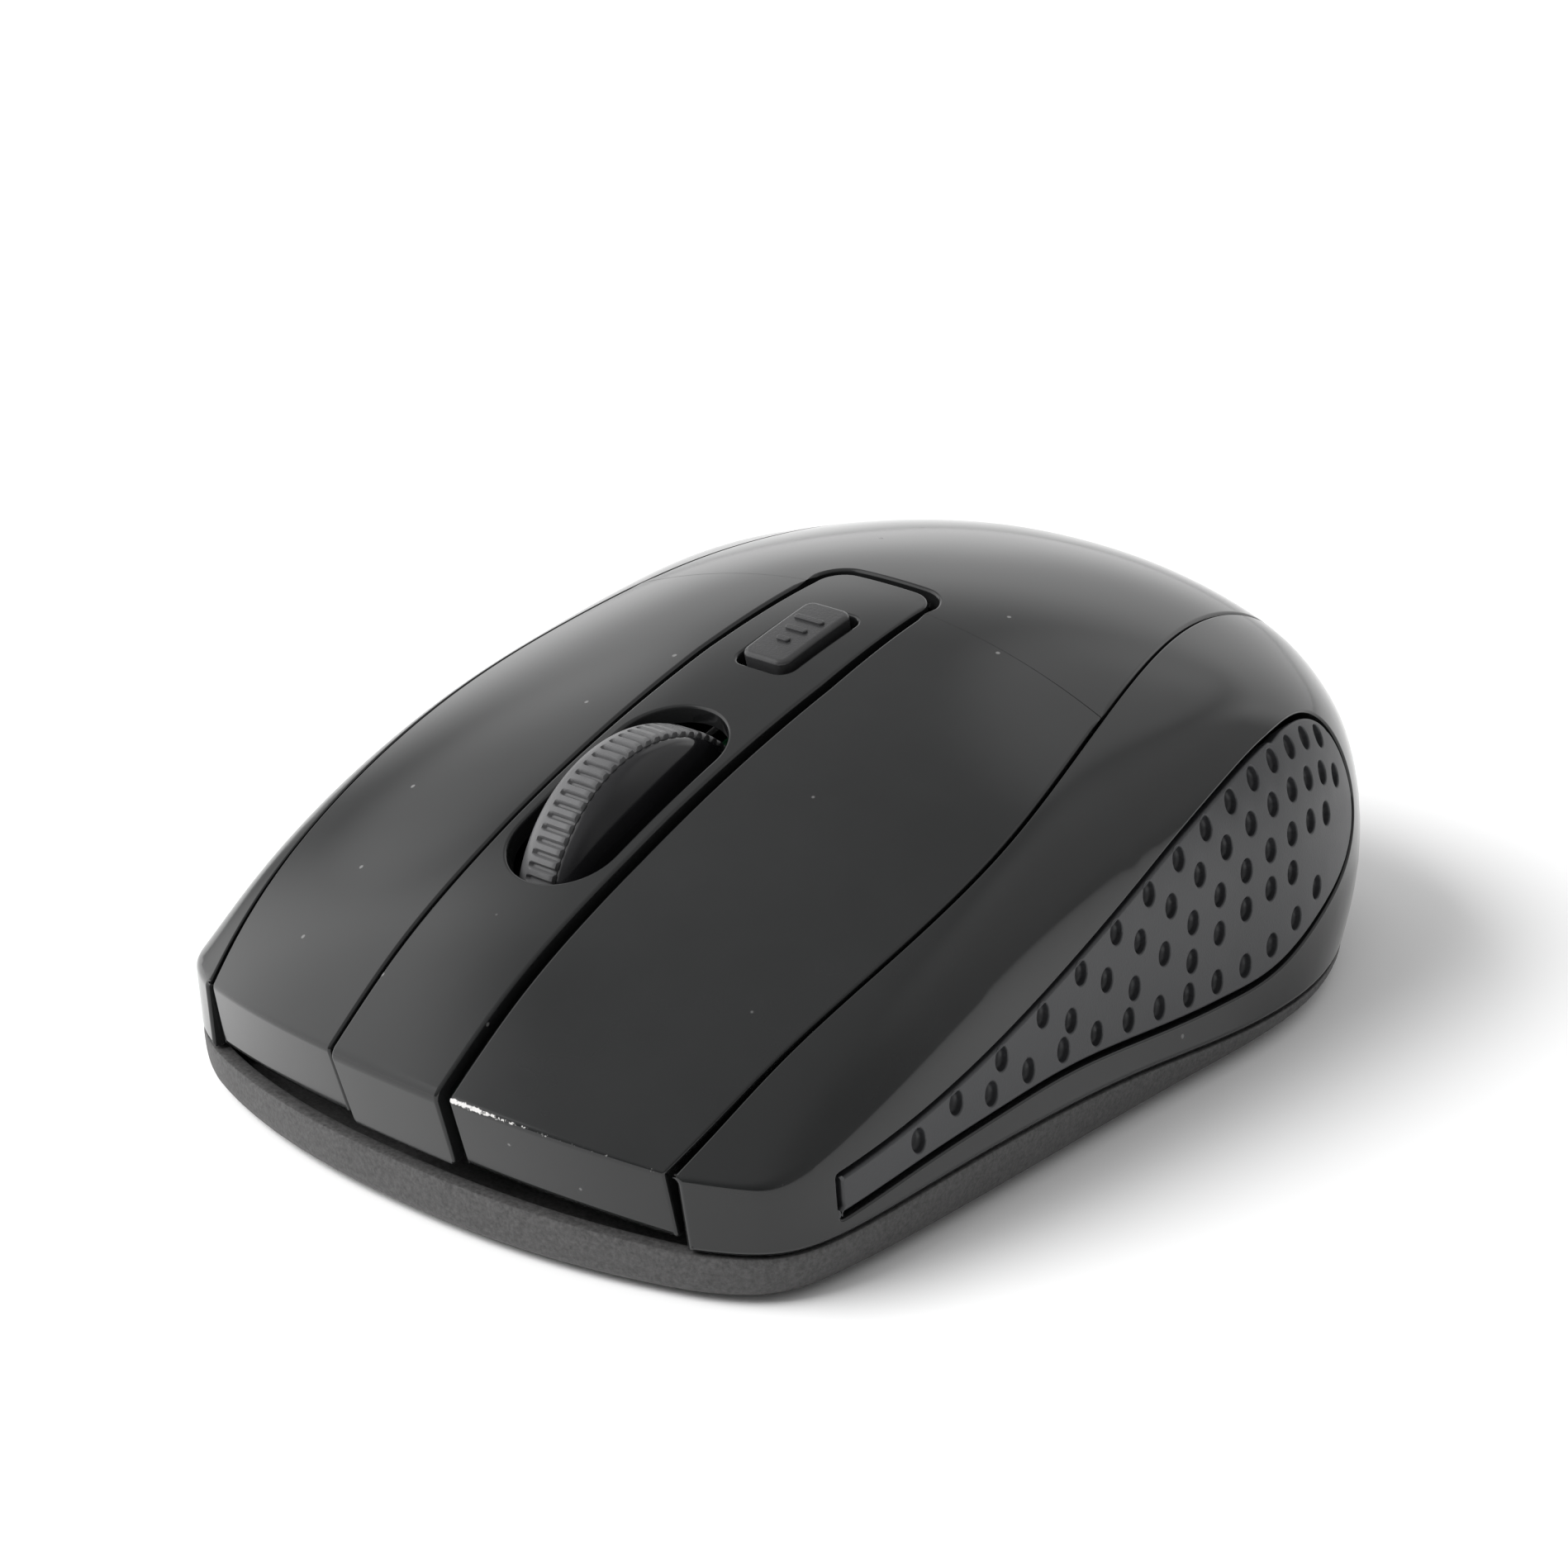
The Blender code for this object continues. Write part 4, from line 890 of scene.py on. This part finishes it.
black, black_worn = gloss("gloss_black"), gloss("gloss_black_worn", worn=True)
for side, mirror in (("left", False), ("right", True)):
    key = moulding(f"{side}_key_shell", [key_loop()], top_point, black if mirror else black_worn,
                   edge=flex_edge, chains=CREASE_ROWS, mirror=mirror, wear=wear_on_crease, lean=flex_lean)
    stand_for(key, f"{side}_key")
cover = moulding("top_cover_shell", [cover_loop()], top_point, black, edge=flex_edge, pitch=1.5,
                 seam=upright_top)
stand_for(cover, "top_cover")
strip = moulding("center_strip_shell", [strip_loop(), wheel_slot(), cpi_outline(CPI_GAP, CPI_CORNER + 0.4)],
                 top_point, black, pitch=1.1, raised=strip_raise, chains=CREASE_ROWS)
stand_for(strip, "center_strip")

satin = rubber("cpi_satin", (0.032, 0.032, 0.033), 0.24, 4200.0)
button = moulding("cpi_button_cap", [cpi_outline(0.0, CPI_CORNER)], top_point, satin, thick=3.4, edge=0.45,
                  pitch=0.8, raised=raised_by(0.85))
stand_for(button, "cpi_button")
for k, reach in enumerate((0.7, 1.15, 1.6)):
    u = CPI_U + (k - 1) * MARK_PITCH
    mark = dense(rounded(-reach, reach, u - MARK_HALF, u + MARK_HALF, 0.28, 5), 0.3)
    bar = moulding(f"cpi_level_mark_{k}", [mark], top_point, satin, thick=0.4, edge=0.1, pitch=0.4,
                   raised=raised_by(1.1), steps=3)
    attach(bar, "cpi_button")

# ---- sides
# rows of dimples: drop below the upper edge, first y, first step, shrink of each step, count
DIMPLE_ROWS = (
    (1.85, -24.2, 5.8, 0.945, 14), (5.05, -9.2, 4.9, 0.945, 12),
    (8.7, -0.5, 4.2, 0.96, 9), (12.2, 7.6, 3.9, 0.95, 5),
)
LOWER_ROW = (-19.8, 4.8, 0.972, 12)  # the row along the lower edge: the same without a drop
FIRST_DIMPLE = (-28.8, 2.3)  # the one at the front tip: y and height above the lower edge


def dimples(recess):
    """Side coordinates of the grip's dimples, clear of the recess edge."""
    outline = grip_outline(400)
    rear = outline[:, 0].argmax()
    upper, lower = outline[: rear + 1], outline[: rear : -1]
    y, above = FIRST_DIMPLE
    at = [(y, np.interp(y, *lower.T) + above)]
    for drop, y, pitch, shrink, count in DIMPLE_ROWS:
        for _ in range(count):
            at.append((y, np.interp(y, *upper.T) - drop))
            y, pitch = y + pitch, pitch * shrink
    y, pitch, shrink, count = LOWER_ROW
    for _ in range(count):
        at.append((y, np.interp(y, *lower.T) + np.interp(y, (13.0, 26.5), (2.25, 3.5))))
        y, pitch = y + pitch, pitch * shrink
    p = side_param(np.array(at))
    edge = side_point(recess)
    clear = np.array([length(edge - q).min() for q in side_point(p)])
    return p[clear > 1.0]


grip_rubber = rubber("grip_rubber")
recess = grip_loop()
pits = dimples(recess)
insert, _ = inset(side_point, recess, GRIP_GAP)
for side, mirror in (("left", False), ("right", True)):
    panel = moulding(f"{side}_side_panel_shell", [panel_loop(), recess], side_point, black, edge=0.25,
                     pitch=1.5, chains=SHOULDER_ROWS, seam=upright_side, mirror=mirror)
    stand_for(panel, f"{side}_side_panel")
    grip = moulding(f"{side}_grip_pad", [insert], side_point, grip_rubber, thick=1.3, pitch=1.0, pits=pits,
                    raised=raised_by(-0.05), mirror=mirror)
    stand_for(grip, f"{side}_grip")

# ---- wheel
WHEEL_AT = (0, WHEEL_Y, WHEEL_Z)
RIBS = 76
GROOVE_HALF, GROOVE_SIDE, GROOVE_DEPTH, GROOVE_END = 0.27, 0.12, 0.38, -1.5
TREAD_EDGE = 1.0  # the tread ends here on its right side, against the hub's dome


def rib_grooves(angle, x, radius):
    """Depth of the finger-shaped grooves cut across the tread."""
    pitch = math.tau / RIBS
    across = ((angle + pitch / 2) % pitch - pitch / 2) * WHEEL_R
    away = np.hypot(across, np.minimum(x - GROOVE_END, 0.0))
    deep = np.clip((GROOVE_HALF - away) / GROOVE_SIDE, 0, 1)
    return GROOVE_DEPTH * deep * deep * (3 - 2 * deep) * (radius > TYRE_INNER + 0.6)


def tyre_profile():
    """Section of the tyre as (radius, x): the tread, then the right and left flanks."""
    t, r, inner, edge = TYRE_HALF, WHEEL_R, TYRE_INNER, TREAD_EDGE
    tread = [(r - 1.1 * (x / t) ** 4 if x < 0 else r - 0.12 * x**6, x) for x in np.linspace(-t, edge, 34)]
    shoulder = tread[0][0]
    right = [(r - 0.3, edge + 0.05), (inner + 0.02, edge + 0.05), (inner, edge - 0.2)]
    left = [(inner, -t + 0.6), (inner + 0.02, -t + 0.25)]
    return tread + right + left + [(shoulder - 0.9, -t - 0.02), (shoulder - 0.12, -t - 0.04)]


def hub_profile():
    """Section of the hub as (radius, x): a deep dome on the right and a flatter one on the left."""
    h, rim, start = HUB_HALF - 0.1, TYRE_INNER - 0.06, TREAD_EDGE + 0.12
    angles, radii = np.linspace(0.0, 1.36, 26), np.linspace(3.0, rim - 0.15, 22)
    deep = [(13.0 * math.cos(a) ** 0.8, start + (h - start) * math.sin(a) ** 0.9) for a in angles]
    flat = [(r, -h + 0.05 + 1.75 * max(0.0, (r - 3.0) / (rim - 3.0)) ** 2.6) for r in radii]
    return [
        (1.3, h - 0.5), (1.5, h - 0.25), *reversed(deep), (rim + 0.05, start), (rim, start - 0.1),
        (rim, -h + 2.1), (rim - 0.05, -h + 1.95), *reversed(flat), (2.4, -h + 0.2), (1.3, -h + 0.3),
    ]


tyre_look = rubber("tyre_rubber", (0.09, 0.09, 0.092), 0.36, 3600.0, 0.00004)
hub_look = gloss("hub_gloss", (0.011, 0.011, 0.012))
tyre = turned("wheel_tyre_ribbed", tyre_profile(), tyre_look, WHEEL_AT, RIBS * 10, rib_grooves)
stand_for(tyre, "wheel_tyre")
hub = turned("wheel_hub_dome", hub_profile(), hub_look, WHEEL_AT, 140)
stand_for(hub, "wheel_hub")


# ---- base
BASE_FRONT = (-51.9, 5.0)  # front middle of the base's upper edge (y, z)
BASE_GAP = 0.3  # the edge lies this far below the side panels
TAIL_REACH, TAIL_Z = 2.2, 2.1
# section of the base's side from its foot: distance inwards, share of the height
TRAY_PROFILE = (
    (2.3, 0.0), (1.6, 0.02), (1.1, 0.07), (0.75, 0.14), (0.5, 0.23), (0.33, 0.34), (0.2, 0.47), (0.1, 0.62),
    (0.03, 0.78), (0.0, 0.9), (0.03, 0.95), (0.1, 0.985), (0.22, 1.0), (1.3, 1.0), (1.5, 0.97),
)
TUCK = ((-47.0, 0.45), (-36.0, 0.9), (0.0, 1.0), (20.0, 1.4), (36.0, 1.4), (46.0, 0.95))  # (y, its factor)


def base_loop():
    """Upper edge of the base, counter-clockwise from the front middle."""
    y, z = BASE_FRONT
    a = np.linspace(0, 1, 40, endpoint=False)
    side = raked(along(RIM, np.linspace(0, LAST, 150))) - (0, 0, BASE_GAP)
    corner, rear = side[0], side[-1]
    front = np.c_[corner[0] * a, y + (corner[1] - y) * a**2.3, z + (corner[2] - z) * a**2]
    a = np.linspace(0, 1, 24)[1:-1]
    tail = np.c_[rear[0] * (1 - a), rear[1] + TAIL_REACH * (1 - (1 - a) ** 2), np.full(len(a), TAIL_Z)]
    half = np.vstack([front, side, tail])
    return np.vstack([half, [(0.0, rear[1] + TAIL_REACH, TAIL_Z)], half[:0:-1] * (-1, 1, 1)])


def tray(name, look):
    """The base as a solid tray, from its foot up over its edge and down to its floor."""
    top = base_loop()
    for _ in range(10):
        smooth = (np.roll(top, 1, axis=0) + 2 * top + np.roll(top, -1, axis=0)) / 4
        top[:, :2] = smooth[:, :2]
    run = unit((np.roll(top, -1, axis=0) - np.roll(top, 1, axis=0))[:, :2])
    inward = np.c_[-run[:, 1], run[:, 0]]
    rise = top[:, 2] - BOTTOM_Z
    tuck = np.interp(top[:, 1], *np.array(TUCK).T)[:, None]
    rings = [
        np.c_[top[:, :2] + inward * depth * (tuck if share < 0.9 else 1.0), BOTTOM_Z + rise * share]
        for depth, share in TRAY_PROFILE
    ]
    rings.append(np.c_[top[:, :2] + inward * 1.8, np.full(len(top), FLOOR_Z)])
    return loft(name, rings, look)


def box(low, high):
    (x0, y0, z0), (x1, y1, z1) = low, high
    points = [(x, y, z) for z in (z0, z1) for y in (y0, y1) for x in (x0, x1)]
    faces = [(0, 2, 3, 1), (4, 5, 7, 6), (0, 1, 5, 4), (2, 6, 7, 3), (0, 4, 6, 2), (1, 3, 7, 5)]
    return outwards(mesh_piece("cutter", points, faces, base_look))


def prism(loop, z0, z1):
    return loft("cutter", [np.c_[loop, np.full(len(loop), z)] for z in (z0, z1)], base_look)


def disc(x, y, r, n=48):
    a = np.arange(n) * math.tau / n
    return np.c_[x + r * np.cos(a), y + r * np.sin(a)]


BAY_WALL = 1.4
SENSOR_HOLE_R, SCREW_HOLE_R = 4.2, 2.2
SLIDER_WINDOW = (-24.2, -16.2, -13.6, -10.4, 1.2)  # for the power slider: x range, y range, corner radius
BELOW, ABOVE, BEHIND = -1.0, 4.0, 60.0  # heights and y to which cutters reach, past the plate and the tail
DOOR_SLOT_REAR, DOOR_SLOT_TOP = 3.0, 2.43  # the slot that the door slides out of
DOOR_GAP, DOOR_TOP = 0.3, 1.95
NOTCHES, NOTCH_Y, NOTCH_PITCH, NOTCH_WIDE = 5, 5.0, 1.7, 0.8  # the finger notches in the door

base_look = matte("base_spark")
base = tray("base_tub", base_look)
b = BAY_HALF
cut(base, box((-b - 1.5, BAY_FRONT - BAY_WALL, 1.2), (b + 1.5, BAY_REAR + BAY_WALL, BAY_TOP + 1.2)), "UNION")
cut(base, box((-b, BAY_FRONT, BELOW), (b, BAY_REAR, BAY_TOP)))
cut(base, box((-b, BAY_REAR - DOOR_SLOT_REAR, BELOW - 0.5), (b, BEHIND, DOOR_SLOT_TOP)))
cut(base, prism(disc(SENSOR_X, SENSOR_Y, SENSOR_HOLE_R), BELOW, ABOVE))
cut(base, prism(rounded(*SLIDER_WINDOW), BELOW, ABOVE))
for sign in (1, -1):
    cut(base, prism(disc(sign * SCREW_X, SCREW_Y, SCREW_HOLE_R, 32), BELOW, ABOVE))
base.data.set_sharp_from_angle(angle=TRIM_SHARP)
stand_for(base, "base")

door = tray("battery_door_panel", base_look)
b = BAY_HALF - DOOR_GAP
cut(door, box((-b, BAY_FRONT + DOOR_GAP, BELOW), (b, BEHIND, DOOR_TOP)), "INTERSECT")
for k in range(NOTCHES):
    y, half = NOTCH_Y + NOTCH_PITCH * k, 5.5 - 0.4 * k
    cut(door, prism(rounded(-half, half, y, y + NOTCH_WIDE, 0.39, 6), BELOW / 2, BOTTOM_Z + 0.35))
door.data.set_sharp_from_angle(angle=TRIM_SHARP)
stand_for(door, "battery_door")


# ---- pieces whose CAD shape stays
def cell_look():
    """A plain printed sleeve: grey, with one darker band at an end."""
    look = Look("cell_sleeve", (0.3, 0.32, 0.34), 0.3, metallic=0.6)
    y = look.node("SeparateXYZ", Vector=look.where).outputs["Y"]
    band = look.math("GREATER_THAN", y, 0.031)
    grain = look.remap(look.noise(260.0))
    sleeve = look.mix(grain, (0.26, 0.28, 0.3), (0.33, 0.35, 0.37))
    look.link(look.mix(band, sleeve, (0.05, 0.055, 0.06)), "Base Color")
    look.bump(look.noise(1200.0), 0.2, 0.00002)
    return look.material


KEPT = (
    (board_look("board_mask"), "main_board"),
    (board_look("cpi_board_mask"), "cpi_board"),
    (plastic("carriage_plastic", (0.03, 0.03, 0.03), 0.5), "wheel_carriage"),
    (metal("axle_steel", (0.6, 0.6, 0.61)), "wheel_axle"),
    (plastic("encoder_plastic", (0.02, 0.06, 0.045)), "rotary_encoder"),
    (plastic("switch_black", (0.02, 0.02, 0.022)), "left_switch", "right_switch", "wheel_switch"),
    (plastic("plunger_red", (0.5, 0.06, 0.05)), "left_switch_plunger", "right_switch_plunger"),
    (plastic("plunger_ochre", (0.45, 0.35, 0.08)), "wheel_switch_plunger"),
    (metal("switch_tin", (0.55, 0.55, 0.56), 0.35), "cpi_switch"),
    (plastic("chip_epoxy", (0.015, 0.015, 0.016), 0.5),
     "controller_chip", "sensor_chip", "cpi_switch_plunger"),
    (clear_look("lens_clear", (0.75, 0.8, 0.85), 0.06, 0.9), "sensor_lens"),
    (clear_look("led_red", (0.6, 0.05, 0.04), 0.12, 0.5), "sensor_led"),
    (cell_look(), "battery_cell_a", "battery_cell_b"),
    (plastic("slider_red", (0.42, 0.03, 0.025), 0.42), "power_slider"),
    (metal("switch_can", (0.5, 0.5, 0.52), 0.35), "power_switch_body"),
    (plastic("foot_slick", (0.02, 0.02, 0.021), 0.3), *(n for n in frame["nodes"] if n.startswith("foot_"))),
    (metal("screw_steel", (0.45, 0.45, 0.47), 0.3), "case_screw_left", "case_screw_right"),
    (metal("plug_steel", (0.66, 0.66, 0.68), 0.22), "receiver_plug"),
    (plastic("receiver_black", (0.02, 0.02, 0.021), 0.35), "receiver_body"),
    (metal("spring_steel", (0.62, 0.62, 0.63), 0.25), "battery_spring_a", "battery_spring_b"),
    (metal("contact_nickel", (0.68, 0.66, 0.62), 0.25), "battery_contact_front", "battery_contact_rear"),
)
for material, *nodes in KEPT:
    for node in nodes:
        obj = frame["nodes"][node]
        obj.data.materials.clear()
        obj.data.materials.append(material)


# ---- studio
def direction(azimuth, elevation):
    """Unit vector towards an azimuth (0 is -Y, 90 is +X) and an elevation, in degrees."""
    a, e = math.radians(azimuth), math.radians(elevation)
    return Vector((math.sin(a) * math.cos(e), -math.cos(a) * math.cos(e), math.sin(e)))


camera = place("camera", bpy.data.cameras.new("camera"))
VIEW_AZ, VIEW_EL, VIEW_ROLL, VIEW_DISTANCE = 40.953, 22.893, -0.528, 363.72
AIM = Vector((-15.44, 13.97, 12.47))
back = direction(VIEW_AZ, VIEW_EL)
camera.location = (AIM + back * VIEW_DISTANCE) * MM
roll = Quaternion(back, math.radians(VIEW_ROLL))
camera.rotation_euler = (roll @ (-back).to_track_quat("-Z", "Y")).to_euler()
camera.data.sensor_width, camera.data.lens = 36.0, 88.56
camera.data.clip_start, camera.data.clip_end = 0.01, 50.0
scene.camera = camera

FLOOR_HALF = 4000
paper = Look("floor_white", (0.93, 0.93, 0.93), 0.7)
clouds = paper.remap(paper.noise(3.0))
paper.link(paper.mix(clouds, (0.925, 0.925, 0.925), (0.935, 0.935, 0.935)), "Base Color")
corners = [(x * FLOOR_HALF, y * FLOOR_HALF, 0) for x, y in ((-1, -1), (1, -1), (1, 1), (-1, 1))]
floor = mesh_piece("floor", corners, [(0, 1, 2, 3)], paper.material)

LIGHT_AZ, LIGHT_EL, LIGHT_AWAY = 322, 45, 2.0  # in degrees and metres
LIGHT_WIDE, LIGHT_TALL, LIGHT_RADIANCE = 1.4, 1.1, 9.5
soft = bpy.data.lights.new("soft_main", "AREA")
soft.shape, soft.size, soft.size_y = "RECTANGLE", LIGHT_WIDE, LIGHT_TALL
soft.energy = LIGHT_RADIANCE * math.pi * LIGHT_WIDE * LIGHT_TALL
main = place("soft_main", soft)
towards = direction(LIGHT_AZ, LIGHT_EL)
main.location = Vector((0, 0, 0.015)) + towards * LIGHT_AWAY
main.rotation_euler = towards.to_track_quat("Z", "Y").to_euler()
main.visible_camera = False
main.visible_glossy = False  # its mirror image is the broad glow below

world = bpy.data.worlds.new("studio")
scene.world = world
world.use_nodes = True
tree = world.node_tree


def wire(kind, operation=None, *inputs):
    """A node of the world with its inputs in order."""
    made = tree.nodes.new("ShaderNode" + kind)
    if operation is not None:
        made.operation = operation
    for socket, value in zip(made.inputs, inputs):
        plug(tree, socket, value)
    return made


def ramp(value, start, end, low, high):
    """A smooth step from low to high."""
    made = wire("MapRange", None, value, start, end, low, high)
    made.interpolation_type = "SMOOTHSTEP"
    return made.outputs["Result"]


sight = tree.nodes.new("ShaderNodeTexCoord").outputs["Generated"]
level = wire("VectorMath", "MULTIPLY", sight, (1, 1, 0)).outputs["Vector"]
level = wire("VectorMath", "NORMALIZE", level).outputs["Vector"]
rise = wire("SeparateXYZ", None, sight).outputs["Z"]


def fade(towards, inner, outer, amount):
    """The amount within inner degrees of a direction and none past outer, from the cosine of the angle."""
    return ramp(towards, math.cos(math.radians(outer)), math.cos(math.radians(inner)), 0.0, amount)


def lobe(azimuth, inner, outer, full_below, none_above, amount):
    """A broad piece of backdrop that stands on the horizon and fades out between two elevations."""
    towards = wire("VectorMath", "DOT_PRODUCT", level, direction(azimuth, 0)).outputs["Value"]
    wide = fade(towards, inner, outer, amount)
    tall = ramp(rise, math.sin(math.radians(full_below)), math.sin(math.radians(none_above)), 1.0, 0.0)
    return wire("Math", "MULTIPLY", wide, tall).outputs[0]


def spot(azimuth, elevation, inner, outer, amount):
    """A round soft patch of light."""
    towards = wire("VectorMath", "DOT_PRODUCT", sight, direction(azimuth, elevation)).outputs["Value"]
    return fade(towards, inner, outer, amount)


# the patches' arguments, broad ones first
LOBES = (
    (203, 34, 47, 22, 44, 0.75), (225, 12, 28, 6, 18, 0.3),
    (298, 27, 46, 42, 60, 1.15), (20, 35, 75, 5, 45, -0.25),
)
SPOTS = ((249, 30, 4, 13, 0.5), (190, 47, 8, 18, 0.45), (138, 30, 8, 36, 0.32))
glow = ramp(rise, 0.25, 0.85, 0.36, 0.52)
for patch in (*(lobe(*row) for row in LOBES), *(spot(*row) for row in SPOTS)):
    glow = wire("Math", "ADD", glow, patch).outputs[0]
tree.links.new(glow, tree.nodes["Background"].inputs["Color"])
scene.view_settings.view_transform = "Standard"
